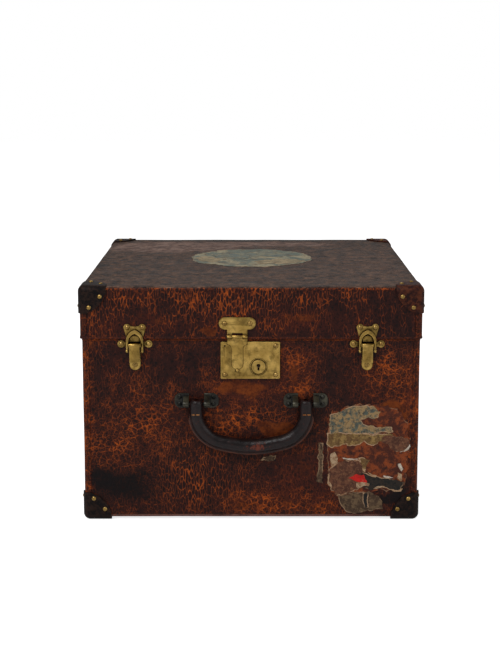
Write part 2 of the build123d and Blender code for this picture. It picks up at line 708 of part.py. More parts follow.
def build():
    parts = {}
    body_rim = seam_z - seam_gap / 2
    lid_rim = seam_z + seam_gap / 2

    skin, wood, cloth = case_layers(body_half, body_rim, floor_z)
    pocket = lock_pocket()
    channel = lug_channel(case_high_z - 1)
    front, back, sides, base = leather_panels(skin, body_half, body_rim, floor_z)
    parts["body_front_leather"] = front - pocket - channel
    parts["body_back_leather"] = back
    parts["body_side_leathers"] = sides
    parts["body_base_leather"] = base
    front, back, left, right, base = boards(wood, body_half, body_rim, floor_z)
    parts["body_front_board"] = front - pocket - channel
    parts["body_back_board"] = back
    parts["body_left_board"] = left
    parts["body_right_board"] = right
    parts["body_base_board"] = base
    parts["body_lining"] = cloth - pocket
    parts["rim_lip"] = rim_lip()

    skin, wood, cloth = case_layers(lid_half, lid_rim, lid_top_z)
    front, back, sides, top = leather_panels(skin, lid_half, lid_rim, lid_top_z)
    parts["lid_front_leather"] = front
    parts["lid_back_leather"] = back
    parts["lid_side_leathers"] = sides
    parts["lid_top_leather"] = top
    front, back, left, right, top = boards(wood, lid_half, lid_rim, lid_top_z)
    parts["lid_front_board"] = front
    parts["lid_back_board"] = back
    parts["lid_left_board"] = left
    parts["lid_right_board"] = right
    parts["lid_top_board"] = top
    parts["lid_lining"] = cloth

    base_cap = corner_cap(floor_z, False)
    lid_cap = corner_cap(cap_thickness, True)
    for end, side_y in (("front", -1), ("back", 1)):
        for hand, side_x in (("left", -1), ("right", 1)):
            name = end + "_" + hand
            parts["base_cap_" + name] = place_cap(base_cap, side_x, side_y, body_half, floor_z, False)
            parts["lid_cap_" + name] = place_cap(lid_cap, side_x, side_y, lid_half, lid_top_z, True)

    parts["lock_plate"] = lock_plate()
    parts["lock_case"] = lock_case()
    parts["key_plug"] = key_plug()
    parts["lock_bolt"] = lock_bolt()
    parts["hasp_strap"] = hasp_strap()
    parts["hasp_pin"] = hasp_pin()
    parts["hasp"] = hasp()

    for hand, x in (("left", -catch_x), ("right", catch_x)):
        parts["catch_base_" + hand] = catch_base(x)
        parts["catch_lever_" + hand] = catch_lever(x)
        parts["catch_link_" + hand] = catch_link(x)
        parts["link_pin_" + hand] = link_pin(x)
        parts["catch_keeper_" + hand] = keeper(x)
    parts["catch_pivot_pins"] = catch_pins()

    parts["handle_grip"], parts["handle_core"] = handle_pieces()
    parts["handle_brackets_left"] = bracket_pair(-handle_leg_x)
    parts["handle_brackets_right"] = bracket_pair(handle_leg_x)
    parts["handle_pins"] = handle_pins()
    parts["handle_bracket_rivets"] = set_rivets(bracket_rivet_places())

    parts["hinge_body_leaves"] = Compound([hinge_body_leaf(-hinge_x), hinge_body_leaf(hinge_x)])
    parts["hinge_lid_leaves"] = Compound([hinge_lid_leaf(-hinge_x), hinge_lid_leaf(hinge_x)])
    parts["hinge_pins"] = hinge_pins()

    body_places = cap_rivets(body_half, floor_z, 1, False)
    lid_places = cap_rivets(lid_half, lid_top_z, -1, True)
    plate_front = -body_half - plate_thickness
    body_places += [((x, plate_front, z), front_way) for x, z in lock_rivets()]
    lid_places += [((x, -lid_half - strap_thickness, z), front_way) for x, z in strap_rivets()]
    for x in (-catch_x, catch_x):
        body_places += [((u, -body_half - catch_plate, z), front_way) for u, z in catch_base_rivets(x)]
        lid_places += [((u, -lid_half - catch_plate, z), front_way) for u, z in keeper_rivets(x)]
    for x in (-hinge_x, hinge_x):
        reach = leaf_height - hinge_rivet_inset
        low, high = seam_z - reach, seam_z + reach
        body_places += [((u, body_half + leaf, z), back_way) for u, z in hinge_rivets(x, low)]
        lid_places += [((u, lid_half + leaf, z), back_way) for u, z in hinge_rivets(x, high)]
    parts["body_rivets"] = set_rivets(body_places)
    parts["lid_rivets"] = set_rivets(lid_places)

    parts["top_label"] = top_label()
    parts["front_labels"] = front_labels()
    return parts


os.makedirs("parts", exist_ok=True)
print("case shift", round(case_shift, 3), "handle y", round(handle_y + case_shift, 3))
for name, shape in build().items():
    export_step(Pos(0, case_shift, 0) * shape, "parts/" + name + ".step")
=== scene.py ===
import math

import bmesh
import bpy
import numpy as np
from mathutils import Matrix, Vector, noise
from mathutils.geometry import delaunay_2d_cdt


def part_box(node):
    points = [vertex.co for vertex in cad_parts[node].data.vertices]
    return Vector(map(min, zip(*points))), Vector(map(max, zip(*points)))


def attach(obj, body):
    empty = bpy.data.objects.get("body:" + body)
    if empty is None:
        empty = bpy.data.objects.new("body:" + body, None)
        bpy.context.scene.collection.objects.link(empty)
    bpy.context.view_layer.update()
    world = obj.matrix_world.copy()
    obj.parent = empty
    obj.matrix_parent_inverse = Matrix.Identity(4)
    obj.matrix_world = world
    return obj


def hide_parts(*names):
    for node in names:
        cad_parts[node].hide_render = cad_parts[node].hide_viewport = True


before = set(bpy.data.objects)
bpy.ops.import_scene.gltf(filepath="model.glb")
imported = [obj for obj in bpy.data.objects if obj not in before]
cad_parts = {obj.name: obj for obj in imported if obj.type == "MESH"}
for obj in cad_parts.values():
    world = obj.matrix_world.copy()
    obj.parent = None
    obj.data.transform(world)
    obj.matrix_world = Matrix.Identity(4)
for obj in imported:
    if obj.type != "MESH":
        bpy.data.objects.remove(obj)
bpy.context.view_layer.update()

noise.seed_set(3)  # noise_vector starts from the clock otherwise

# An old leather hat box: cased boards, crackled varnish, brass fittings.
mm = 0.001
scene = bpy.context.scene
print("frame loaded:", len(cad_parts), "parts")

# studio
studio = {
    "cameraPlace": (0.0, -1.688, 0.549),
    "cameraPitch": 8.4,
    "lens": 69.8,
    "shift": (-0.0017, -0.125),
    "skyToCamera": 1.0,
    "skyToObject": 0.24,
    "floorToCamera": 0.8,
    "floorToObject": 0.05,
}
lamps = {  # place, size, watts
    "keyLamp": ((-1.1, -1.7, 2.2), 1.4, 34),
    "fillLamp": ((1.9, -1.3, 1.1), 1.6, 9),
    "backLamp": ((0.2, 1.5, 2.0), 1.6, 7),
}


def brighterToCamera(tree, toObject, toCamera, socket):
    path = tree.nodes.new("ShaderNodeLightPath")
    level = tree.nodes.new("ShaderNodeMapRange")
    level.inputs["To Min"].default_value = toObject
    level.inputs["To Max"].default_value = toCamera
    tree.links.new(path.outputs["Is Camera Ray"], level.inputs["Value"])
    tree.links.new(level.outputs["Result"], socket)


def setTheStage():
    cameraData = bpy.data.cameras.new("camera")
    cameraData.lens = studio["lens"]
    cameraData.sensor_width = 36
    cameraData.shift_x, cameraData.shift_y = studio["shift"]
    cameraData.clip_start = 0.05
    camera = bpy.data.objects.new("camera", cameraData)
    camera.location = studio["cameraPlace"]
    camera.rotation_euler = (math.radians(90 - studio["cameraPitch"]), 0, 0)
    scene.collection.objects.link(camera)
    scene.camera = camera

    aim = Vector((0, 0, 0.15))
    for name, (place, size, watts) in lamps.items():
        data = bpy.data.lights.new(name, "AREA")
        data.size = size
        data.energy = watts
        lamp = bpy.data.objects.new(name, data)
        lamp.location = place
        lamp.rotation_euler = (aim - Vector(place)).to_track_quat("-Z", "Y").to_euler()
        scene.collection.objects.link(lamp)

    # white where the camera sees it, softer where it lights the box
    world = bpy.data.worlds.new("studioWorld")
    scene.world = world
    world.use_nodes = True
    tree = world.node_tree
    sky = tree.nodes["Background"]
    sky.inputs["Color"].default_value = (1, 1, 1, 1)
    brighterToCamera(tree, studio["skyToObject"], studio["skyToCamera"], sky.inputs["Strength"])

    bpy.ops.mesh.primitive_plane_add(size=14, location=(0, 0, -0.0002))
    floor = bpy.context.object
    floor.name = "studioFloor"
    paint = bpy.data.materials.new("floorWhite")
    paint.use_nodes = True
    shader = paint.node_tree.nodes["Principled BSDF"]
    shader.inputs["Base Color"].default_value = (0.86, 0.86, 0.86, 1)
    shader.inputs["Roughness"].default_value = 0.9
    shader.inputs["Specular IOR Level"].default_value = 0.1
    shader.inputs["Emission Color"].default_value = (1, 1, 1, 1)
    brighterToCamera(paint.node_tree, studio["floorToObject"], studio["floorToCamera"],
                     shader.inputs["Emission Strength"])
    floor.data.materials.append(paint)
    scene.view_settings.view_transform = "Standard"
    scene.view_settings.look = "None"


setTheStage()
print("studio set")


# node helpers
def shade(red, green, blue):
    # a colour as a paint chart gives it, 0 to 255, made linear
    def linear(value):
        value /= 255
        return value / 12.92 if value <= 0.04045 else ((value + 0.055) / 1.055) ** 2.4
    return (linear(red), linear(green), linear(blue), 1.0)


def put(tree, kind, settings=None, inputs=None):
    made = tree.nodes.new(kind)
    for name, value in (settings or {}).items():
        setattr(made, name, value)
    for key, value in (inputs or {}).items():
        socket = made.inputs[key]
        if isinstance(value, bpy.types.NodeSocket):
            tree.links.new(value, socket)
        else:
            socket.default_value = value
    made.location = (180 * (len(tree.nodes) % 12), -220 * (len(tree.nodes) // 12))
    return made


def sums(tree, operation, first, second=0.0, third=0.0, clamp=False):
    made = put(tree, "ShaderNodeMath", {"operation": operation, "use_clamp": clamp},
               {0: first, 1: second, 2: third})
    return made.outputs[0]


def times(tree, first, second, clamp=False):
    return sums(tree, "MULTIPLY", first, second, clamp=clamp)


def blend(tree, amount, first, second, mode="MIX"):
    made = put(tree, "ShaderNodeMix", {"data_type": "RGBA", "blend_type": mode},
               {0: amount, 6: first, 7: second})
    return made.outputs[2]


def ramp(tree, value, low, high, toLow=0.0, toHigh=1.0):
    made = put(tree, "ShaderNodeMapRange", {"interpolation_type": "SMOOTHSTEP"},
               {"Value": value, "From Min": low, "From Max": high,
                "To Min": toLow, "To Max": toHigh})
    return made.outputs["Result"]


def cloud(tree, place, scale, detail=3.0, rough=0.55, wander=0.0):
    made = put(tree, "ShaderNodeTexNoise", None,
               {"Vector": place, "Scale": scale, "Detail": detail,
                "Roughness": rough, "Distortion": wander})
    return made.outputs["Fac"]


def stretched(tree, place, scale):
    made = put(tree, "ShaderNodeMapping", None, {"Vector": place, "Scale": scale})
    return made.outputs[0]


def painted(tree, name):
    made = put(tree, "ShaderNodeAttribute", {"attribute_name": name})
    return made.outputs["Fac"]


def newGroup(name, inputs, outputs, kind="Shader"):
    tree = bpy.data.node_groups.new(name, kind + "NodeTree")
    for label, kind, value in inputs:
        socket = tree.interface.new_socket(label, in_out="INPUT", socket_type="NodeSocket" + kind)
        if value is not None:
            socket.default_value = value
    for label, kind in outputs:
        tree.interface.new_socket(label, in_out="OUTPUT", socket_type="NodeSocket" + kind)
    return tree, tree.nodes.new("NodeGroupInput").outputs, tree.nodes.new("NodeGroupOutput").inputs


def useGroup(tree, group, inputs):
    return put(tree, "ShaderNodeGroup", {"node_tree": group}, inputs).outputs


def newFinish(name):
    finish = bpy.data.materials.new(name)
    finish.use_nodes = True
    tree = finish.node_tree
    shader = tree.nodes["Principled BSDF"]
    place = tree.nodes.new("ShaderNodeTexCoord").outputs["Object"]
    return finish, tree, shader, place


def feed(tree, shader, key, value):
    tree.links.new(value, shader.inputs[key])


def relief(tree, height, distance, strength=1.0, under=None):
    inputs = {"Height": height, "Distance": distance, "Strength": strength}
    if under is not None:
        inputs["Normal"] = under
    return put(tree, "ShaderNodeBump", None, inputs).outputs[0]


# shared effects
def makeCrackleGroup():
    # varnish that has split into islands: wear opens the cracks until the islands are gone
    tree, given, out = newGroup(
        "crackle",
        [("Place", "Vector", None), ("Cells per metre", "Float", 180.0), ("Wear", "Float", 0.4),
         ("Wander", "Float", 0.0016), ("Hairline", "Float", 0.022), ("Widest", "Float", 0.2)],
        [("Crack", "Float"), ("Height", "Float")])
    wobble = put(tree, "ShaderNodeTexNoise", None,
                 {"Vector": given["Place"], "Scale": 170.0, "Detail": 2.0})
    centred = put(tree, "ShaderNodeVectorMath", {"operation": "SUBTRACT"},
                  {0: wobble.outputs["Color"], 1: (0.5, 0.5, 0.5)}).outputs[0]
    pushed = put(tree, "ShaderNodeVectorMath", {"operation": "SCALE"},
                 {0: centred, "Scale": given["Wander"]}).outputs[0]
    moved = put(tree, "ShaderNodeVectorMath", {"operation": "ADD"},
                {0: given["Place"], 1: pushed}).outputs[0]
    cells = put(tree, "ShaderNodeTexVoronoi", {"feature": "DISTANCE_TO_EDGE"},
                {"Vector": moved, "Scale": given["Cells per metre"]}).outputs["Distance"]
    patchy = cloud(tree, given["Place"], 95.0, 3.0, 0.6)
    uneven = sums(tree, "MULTIPLY_ADD", patchy, 1.3, -0.65)
    opened = sums(tree, "ADD", given["Wear"], uneven, clamp=True)
    wide = times(tree, sums(tree, "POWER", opened, 2.0), given["Widest"])
    edge = sums(tree, "ADD", wide, given["Hairline"])
    near = sums(tree, "SUBTRACT", edge, cells)
    shown = ramp(tree, near, -0.018, 0.018)
    # breaks the net into short strokes
    broken = ramp(tree, cloud(tree, given["Place"], 360.0, 3.0, 0.6), 0.38, 0.56, 0.35, 1.0)
    present = times(tree, ramp(tree, opened, 0.0, 0.34), broken)
    tree.links.new(times(tree, shown, present), out["Crack"])
    swell = ramp(tree, cells, 0.0, 0.22)
    tree.links.new(times(tree, swell, present), out["Height"])
    return tree


def makeGrainGroup():
    # leather pebble, fine creases and pores
    tree, given, out = newGroup(
        "leatherGrain",
        [("Place", "Vector", None), ("Pebbles per metre", "Float", 900.0), ("Creases", "Float", 0.5)],
        [("Height", "Float"), ("Tone", "Float")])
    pebble = put(tree, "ShaderNodeTexVoronoi", {"feature": "SMOOTH_F1"},
                 {"Vector": given["Place"], "Scale": given["Pebbles per metre"],
                  "Smoothness": 0.5}).outputs["Distance"]
    crease = cloud(tree, given["Place"], 260.0, 5.0, 0.7, 0.6)
    folded = times(tree, sums(tree, "ABSOLUTE", sums(tree, "SUBTRACT", crease, 0.5)),
                  given["Creases"])
    height = sums(tree, "ADD", times(tree, pebble, -0.5), times(tree, folded, 6.0))
    tree.links.new(height, out["Height"])
    tree.links.new(ramp(tree, crease, 0.3, 0.7), out["Tone"])
    return tree


def makeDustGroup():
    # pale dust that settles on what faces up and in blotches
    tree, given, out = newGroup(
        "settledDust",
        [("Place", "Vector", None), ("Amount", "Float", 0.3)], [("Mask", "Float")])
    facing = put(tree, "ShaderNodeNewGeometry").outputs["Normal"]
    upward = put(tree, "ShaderNodeSeparateXYZ", None, {0: facing}).outputs["Z"]
    lying = ramp(tree, upward, 0.2, 0.95)
    blotch = ramp(tree, cloud(tree, given["Place"], 38.0, 6.0, 0.7), 0.38, 0.7)
    mask = times(tree, times(tree, lying, blotch), given["Amount"])
    tree.links.new(mask, out["Mask"])
    return tree


def makePatinaGroup():
    # brown tarnish in corners and round rivets, rubbed bright on the proud edges; finishes with a wide
    # reach use the hollow mask as painted shade round raised parts, and finishes with an edge colour
    # use the proud-edge mask for a painted dark shadow outline
    tree, given, out = newGroup(
        "metalPatina",
        [("Place", "Vector", None), ("Reach", "Float", 0.0035), ("Blotches", "Float", 160.0)],
        [("TarnishAndShade", "Float"), ("ProudEdge", "Float"), ("Scratch", "Float")])
    hollow = put(tree, "ShaderNodeAmbientOcclusion", {"samples": 6},
                 {"Distance": given["Reach"]}).outputs["AO"]
    proud = put(tree, "ShaderNodeAmbientOcclusion", {"samples": 6, "inside": True},
                {"Distance": 0.0011}).outputs["AO"]
    blotch = cloud(tree, given["Place"], given["Blotches"], 5.0, 0.65)
    deep = ramp(tree, hollow, 0.45, 0.98, 1.0, 0.0)
    patches = ramp(tree, blotch, 0.44, 0.7)
    tree.links.new(sums(tree, "MULTIPLY_ADD", deep, 1.7, times(tree, patches, 0.5),
                        clamp=True), out["TarnishAndShade"])
    exposed = ramp(tree, hollow, 0.82, 1.0)
    # proud edges: rubbed bright wear on most metal, a painted shadow outline on the finishes that give
    # an edge colour
    rubbed = times(tree, ramp(tree, proud, 0.5, 0.95, 1.0, 0.0), ramp(tree, blotch, 0.25, 0.5))
    tree.links.new(times(tree, rubbed, exposed), out["ProudEdge"])
    fine = cloud(tree, stretched(tree, given["Place"], (1.0, 1.0, 0.12)), 2400.0, 4.0, 0.7)
    tree.links.new(fine, out["Scratch"])
    return tree


crackleGroup = makeCrackleGroup()
grainGroup = makeGrainGroup()
dustGroup = makeDustGroup()
patinaGroup = makePatinaGroup()

# leather finishes
caseLeather = {
    "darkVarnish": shade(25, 17, 18),
    "varnish": shade(40, 24, 23),
    "redVarnish": shade(70, 29, 21),
    "black": shade(16, 14, 16),
    "crack": shade(192, 90, 31),
    "dullCrack": shade(112, 50, 25),
    "bare": shade(122, 57, 19),
    "bareDark": shade(82, 34, 13),
    "pale": shade(140, 98, 86),
    "stretch": (1.0, 1.0, 0.34),
    "coarseCells": 145.0,
    "fineCells": 310.0,
}
topLeather = {
    "darkVarnish": shade(44, 31, 26),
    "varnish": shade(60, 43, 37),
    "redVarnish": shade(92, 60, 46),
    "black": shade(22, 18, 18),
    "crack": shade(146, 112, 92),
    "dullCrack": shade(18, 13, 12),
    "bare": shade(146, 116, 102),
    "bareDark": shade(86, 58, 48),
    "pale": shade(50, 22, 17),
    "stretch": (0.22, 1.0, 1.0),
    "coarseCells": 190.0,
    "fineCells": 420.0,
}


def makeCaseLeather(name, look, gloss):
    finish, tree, shader, place = newFinish(name)
    wear, bare, dark = painted(tree, "wear"), painted(tree, "bare"), painted(tree, "dark")
    red, streak, pale = painted(tree, "red"), painted(tree, "streak"), painted(tree, "pale")
    # streaks where the varnish split along the hide: up the walls, across the top
    alongHide = stretched(tree, place, look["stretch"])
    coarse = useGroup(tree, crackleGroup, {
        "Place": place, "Cells per metre": look["coarseCells"], "Wear": wear, "Hairline": 0.012})
    fine = useGroup(tree, crackleGroup, {
        "Place": place, "Cells per metre": look["fineCells"], "Wear": wear,
        "Wander": 0.0012, "Hairline": 0.045, "Widest": 0.10})
    drawn = useGroup(tree, crackleGroup, {
        "Place": alongHide, "Cells per metre": look["fineCells"] * 0.95, "Wear": wear,
        "Wander": 0.0024, "Hairline": 0.042, "Widest": 0.15})
    net = sums(tree, "MAXIMUM", coarse["Crack"], times(tree, fine["Crack"], 0.5))
    cracked = sums(tree, "MULTIPLY_ADD", sums(tree, "SUBTRACT", drawn["Crack"], net), streak, net)

    broad = cloud(tree, place, 16.0, 4.0, 0.6)
    middle = cloud(tree, place, 70.0, 5.0, 0.65)
    varnish = blend(tree, ramp(tree, middle, 0.34, 0.68), look["darkVarnish"], look["varnish"])
    reddened = times(tree, red, ramp(tree, broad, 0.25, 0.7, 0.55, 1.25))
    varnish = blend(tree, times(tree, reddened, 1.0, clamp=True), varnish, look["redVarnish"])
    # fine dark flecks, strongest on the islands
    fleck = ramp(tree, cloud(tree, place, 300.0, 5.0, 0.75), 0.5, 0.62)
    varnish = blend(tree, times(tree, fleck, 0.8), varnish, look["black"])
    under = blend(tree, ramp(tree, middle, 0.36, 0.64), look["dullCrack"], look["crack"])
    under = blend(tree, ramp(tree, wear, 0.1, 0.65, 0.6, 0.0), under, look["dullCrack"])
    colour = blend(tree, cracked, varnish, under)
    # places rubbed smooth down to the tan hide
    ragged = sums(tree, "MULTIPLY_ADD", cloud(tree, place, 120.0, 6.0, 0.7), 0.9, -0.45)
    smoothed = ramp(tree, sums(tree, "ADD", bare, ragged), 0.22, 0.62)
    hide = blend(tree, ramp(tree, cloud(tree, place, 90.0, 5.0, 0.7), 0.35, 0.62),
                 look["bareDark"], look["bare"])
    colour = blend(tree, smoothed, colour, hide)
    colour = blend(tree, times(tree, fleck, 0.38), colour, look["black"])
    sooty = ramp(tree, sums(tree, "ADD", dark, ragged), 0.18, 0.86)
    colour = blend(tree, times(tree, sooty, 0.9), colour, look["black"])
    colour = blend(tree, pale, colour, look["pale"])
    grain = useGroup(tree, grainGroup, {"Place": place, "Pebbles per metre": 850.0})
    colour = blend(tree, times(tree, grain["Tone"], 0.22), colour, (0, 0, 0, 1), "MULTIPLY")
    dust = useGroup(tree, dustGroup, {"Place": place, "Amount": 0.10})
    colour = blend(tree, dust["Mask"], colour, shade(150, 132, 120))
    feed(tree, shader, "Base Color", colour)

    rough = ramp(tree, middle, 0.3, 0.7, gloss, gloss + 0.16)
    rough = sums(tree, "MULTIPLY_ADD", cracked, 0.22, rough, clamp=True)
    feed(tree, shader, "Roughness", rough)
    shader.inputs["Specular IOR Level"].default_value = 0.14
    islands = sums(tree, "MULTIPLY_ADD", sums(tree, "SUBTRACT", drawn["Height"], coarse["Height"]),
                   streak, sums(tree, "MULTIPLY_ADD", fine["Height"], 0.5, coarse["Height"]))
    islands = times(tree, islands, sums(tree, "SUBTRACT", 1.0, smoothed))
    lumps = relief(tree, islands, 0.00035, 0.7)
    feed(tree, shader, "Normal", relief(tree, grain["Height"], 0.00010, 0.6, lumps))
    return finish


def makePlainLeather(name, dark, light, rubbed, gloss, pebbles=900.0, wear=0.5,
                     creased=False, shine=0.11):
    # dyed leather for the caps and the handle
    finish, tree, shader, place = newFinish(name)
    middle = cloud(tree, place, 85.0, 5.0, 0.65)
    colour = blend(tree, ramp(tree, middle, 0.32, 0.7), dark, light)
    proud = put(tree, "ShaderNodeAmbientOcclusion", {"samples": 6, "inside": True},
                {"Distance": 0.0024}).outputs["AO"]
    edge = times(tree, ramp(tree, proud, 0.45, 0.9, 1.0, 0.0),
                ramp(tree, cloud(tree, place, 210.0, 5.0, 0.7), 0.4, 0.62))
    colour = blend(tree, times(tree, edge, wear), colour, rubbed)
    scuff = ramp(tree, cloud(tree, place, 300.0, 6.0, 0.75), 0.6, 0.78)
    colour = blend(tree, times(tree, scuff, 0.35 * wear), colour, rubbed)
    if creased:
        rub = painted(tree, "rub")
        ragged = sums(tree, "MULTIPLY_ADD", cloud(tree, place, 330.0, 6.0, 0.75), 2.2, -1.1)
        colour = blend(tree, ramp(tree, sums(tree, "ADD", rub, ragged), 0.3, 0.75), colour, rubbed)
        thread = painted(tree, "edge")
        colour = blend(tree, times(tree, thread, ramp(tree, middle, 0.3, 0.6)), colour,
                       shade(120, 62, 34))
    feed(tree, shader, "Base Color", colour)
    grain = useGroup(tree, grainGroup, {"Place": place, "Pebbles per metre": pebbles})
    crackled = useGroup(tree, crackleGroup, {
        "Place": place, "Cells per metre": 420.0, "Wear": 0.45, "Wander": 0.0008})
    rough = sums(tree, "MULTIPLY_ADD", middle, 0.3, gloss - 0.15, clamp=True)
    feed(tree, shader, "Roughness", rough)
    shader.inputs["Specular IOR Level"].default_value = shine
    lumps = relief(tree, crackled["Height"], 0.00012, 0.5)
    feed(tree, shader, "Normal", relief(tree, grain["Height"], 0.00012, 0.8, lumps))
    return finish


# metal, paper and cloth finishes
def makeMetal(name, bright, body, tarnishAndShade, gloss, reach=0.0035, metallic=1.0, edge=None):
    finish, tree, shader, place = newFinish(name)
    patina = useGroup(tree, patinaGroup, {"Place": place, "Reach": reach})
    tone = cloud(tree, place, 55.0, 4.0, 0.6)
    colour = blend(tree, ramp(tree, tone, 0.35, 0.7), body, bright)
    # tarnish in the hollows; where the reach is wide this is also painted shade round raised parts
    colour = blend(tree, patina["TarnishAndShade"], colour, tarnishAndShade)
    # proud edges rubbed bright; a given edge colour paints them dark instead, a painted shadow outline
    # round the part
    colour = blend(tree, times(tree, patina["ProudEdge"], 0.75), colour, edge or bright)
    feed(tree, shader, "Base Color", colour)
    shader.inputs["Metallic"].default_value = metallic
    rough = sums(tree, "MULTIPLY_ADD", patina["TarnishAndShade"], 0.22, gloss)
    rough = sums(tree, "MULTIPLY_ADD", sums(tree, "SUBTRACT", patina["Scratch"], 0.5), 0.25, rough,
                 clamp=True)
    feed(tree, shader, "Roughness", rough)
    pits = cloud(tree, place, 650.0, 4.0, 0.7)
    dents = relief(tree, pits, 0.00012, 0.5)
    feed(tree, shader, "Normal", relief(tree, patina["Scratch"], 0.0001, 0.35, dents))
    return finish


def makePaper(name, main, second, stain, patches=60.0, torn=0.9):
    # old pasted paper: two inks worn through, brown stains and a pale torn edge
    finish, tree, shader, place = newFinish(name)
    rim = painted(tree, "rim")
    inks = cloud(tree, place, patches, 6.0, 0.72, 0.4)
    colour = blend(tree, ramp(tree, inks, 0.42, 0.56), main, second)
    stains = ramp(tree, cloud(tree, place, patches * 2.6, 6.0, 0.75), 0.5, 0.68)
    colour = blend(tree, stains, colour, stain)
    speck = ramp(tree, cloud(tree, place, 700.0, 4.0, 0.8), 0.52, 0.7)
    colour = blend(tree, times(tree, speck, 0.4), colour, (0.02, 0.012, 0.008, 1))
    fibre = sums(tree, "MULTIPLY_ADD", cloud(tree, place, 260.0, 5.0, 0.7), 0.9, -0.45)
    tornRim = ramp(tree, sums(tree, "ADD", rim, fibre), 0.42, 0.75)
    here = ramp(tree, cloud(tree, place, 52.0, 3.0, 0.6), 0.42, 0.56)
    tornRim = times(tree, tornRim, times(tree, here, torn))
    colour = blend(tree, tornRim, colour, shade(186, 150, 116))
    feed(tree, shader, "Base Color", colour)
    feed(tree, shader, "Roughness", ramp(tree, inks, 0.3, 0.7, 0.62, 0.85))
    shader.inputs["Specular IOR Level"].default_value = 0.25
    wrinkle = sums(tree, "ADD", cloud(tree, place, 180.0, 6.0, 0.7),
                   times(tree, cloud(tree, place, 1500.0, 3.0, 0.6), 0.25))
    feed(tree, shader, "Normal", relief(tree, wrinkle, 0.0006, 0.8))
    return finish


def makeCloth(name, main, second):
    # pasted cotton twill with tea-coloured stains
    threadsPerMetre = 1400.0
    finish, tree, shader, place = newFinish(name)
    parts = put(tree, "ShaderNodeSeparateXYZ", None, {0: place}).outputs
    sideways = sums(tree, "ADD", parts["X"], parts["Y"])
    slope = times(tree, sums(tree, "ADD", sideways, parts["Z"]), threadsPerMetre)
    across = times(tree, sums(tree, "SUBTRACT", sideways, parts["Z"]), threadsPerMetre * 0.6)
    rib = sums(tree, "ABSOLUTE", sums(tree, "SINE", slope))
    weft = sums(tree, "ABSOLUTE", sums(tree, "SINE", across))
    weave = sums(tree, "MULTIPLY_ADD", weft, 0.4, rib)
    stains = ramp(tree, cloud(tree, place, 14.0, 6.0, 0.65, 0.5), 0.45, 0.7)
    colour = blend(tree, stains, main, second)
    colour = blend(tree, times(tree, ramp(tree, weave, 0.2, 1.2, 1.0, 0.0), 0.3), colour,
                   shade(70, 52, 38))
    feed(tree, shader, "Base Color", colour)
    feed(tree, shader, "Roughness", ramp(tree, weave, 0.0, 1.3, 0.95, 0.8))
    shader.inputs["Sheen Weight"].default_value = 0.25
    feed(tree, shader, "Normal", relief(tree, weave, 0.00018, 0.6))
    return finish


finishes = {
    "case": makeCaseLeather("crackledLeather", caseLeather, 0.42),
    "top": makeCaseLeather("topLeather", topLeather, 0.36),
    "cap": makePlainLeather("capLeather", shade(14, 12, 13), shade(24, 18, 18), shade(78, 52, 40),
        0.46, wear=0.35),
    "redCap": makePlainLeather("redCapLeather", shade(29, 16, 17), shade(52, 24, 21),
        shade(112, 58, 34), 0.5, wear=0.6),
    "handle": makePlainLeather("handleLeather", shade(17, 11, 12), shade(36, 22, 22),
        shade(112, 48, 28), 0.33, pebbles=700.0, wear=0.45, creased=True, shine=0.33),
    "brass": makeMetal("agedBrass", shade(222, 184, 104), shade(178, 143, 74), shade(40, 30, 16),
        0.34, reach=0.004),
    # hasp and strap: the dark edge colour paints their proud edges dark, a painted shadow of the groove
    # round the hasp
    "haspBrass": makeMetal("haspBrass", shade(222, 184, 104), shade(184, 149, 78),
        shade(40, 30, 16), 0.32, reach=0.003, edge=shade(64, 46, 20)),
    # catch bases and keepers: the wide reach and dark hollow colour paint the lever's shadow round it,
    # and the edge colour paints a dark shadow outline on their edges
    "catchBrass": makeMetal("catchBrass", shade(222, 184, 104), shade(178, 143, 74),
        shade(30, 22, 12), 0.34, reach=0.0075, edge=shade(64, 46, 20)),
    "rivet": makeMetal("rivetBrass", shade(206, 170, 100), shade(140, 108, 58), shade(52, 38, 22),
        0.36, reach=0.0022),
    "darkRivet": makeMetal("darkRivet", shade(74, 72, 66), shade(36, 38, 37), shade(20, 20, 20),
        0.4, reach=0.0022),
    "steel": makeMetal("steelWire", shade(176, 172, 164), shade(120, 116, 108), shade(70, 50, 36),
        0.35),
    "japanned": makeMetal("japannedIron", shade(80, 76, 60), shade(23, 23, 20), shade(13, 13, 12),
        0.32, metallic=0.4),
    "board": makePaper("pasteboard", shade(150, 118, 84), shade(120, 92, 64), shade(90, 66, 44),
        45.0, 0.0),
    "lining": makeCloth("liningTwill", shade(176, 146, 104), shade(140, 106, 66)),
    "thread": makePlainLeather("waxedThread", shade(22, 17, 16), shade(46, 30, 24),
        shade(110, 70, 42), 0.6, wear=0.3),
    "tanThread": makePlainLeather("tanThread", shade(110, 66, 36), shade(164, 104, 58),
        shade(190, 140, 90), 0.7),
}
print("finishes made:", len(finishes))

# leather hides over the boards
hides = {
    "thickness": 1.6 * mm,
    "cornerRadius": 5.0 * mm,
    "cell": 3.2 * mm,
    "edgeRoll": 0.8 * mm,
    "wrapRise": 0.35 * mm,
    "lap": 9.0 * mm,
    "sunk": 0.18 * mm,
    "closeLines": (0.25 * mm, 0.8 * mm, 1.6 * mm),
    "closest": 0.18 * mm,
    "hem": 4.0 * mm,
    "hemLines": 7,
    "broadWave": 0.22 * mm,
    "fineWave": 0.07 * mm,
}
frontLow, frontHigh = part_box("body_front_leather")
sidesLow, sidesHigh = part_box("body_side_leathers")
baseLow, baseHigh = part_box("body_base_leather")
lidFrontLow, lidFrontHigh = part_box("lid_front_leather")
lidSidesLow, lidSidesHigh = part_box("lid_side_leathers")
topLow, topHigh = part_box("lid_top_leather")


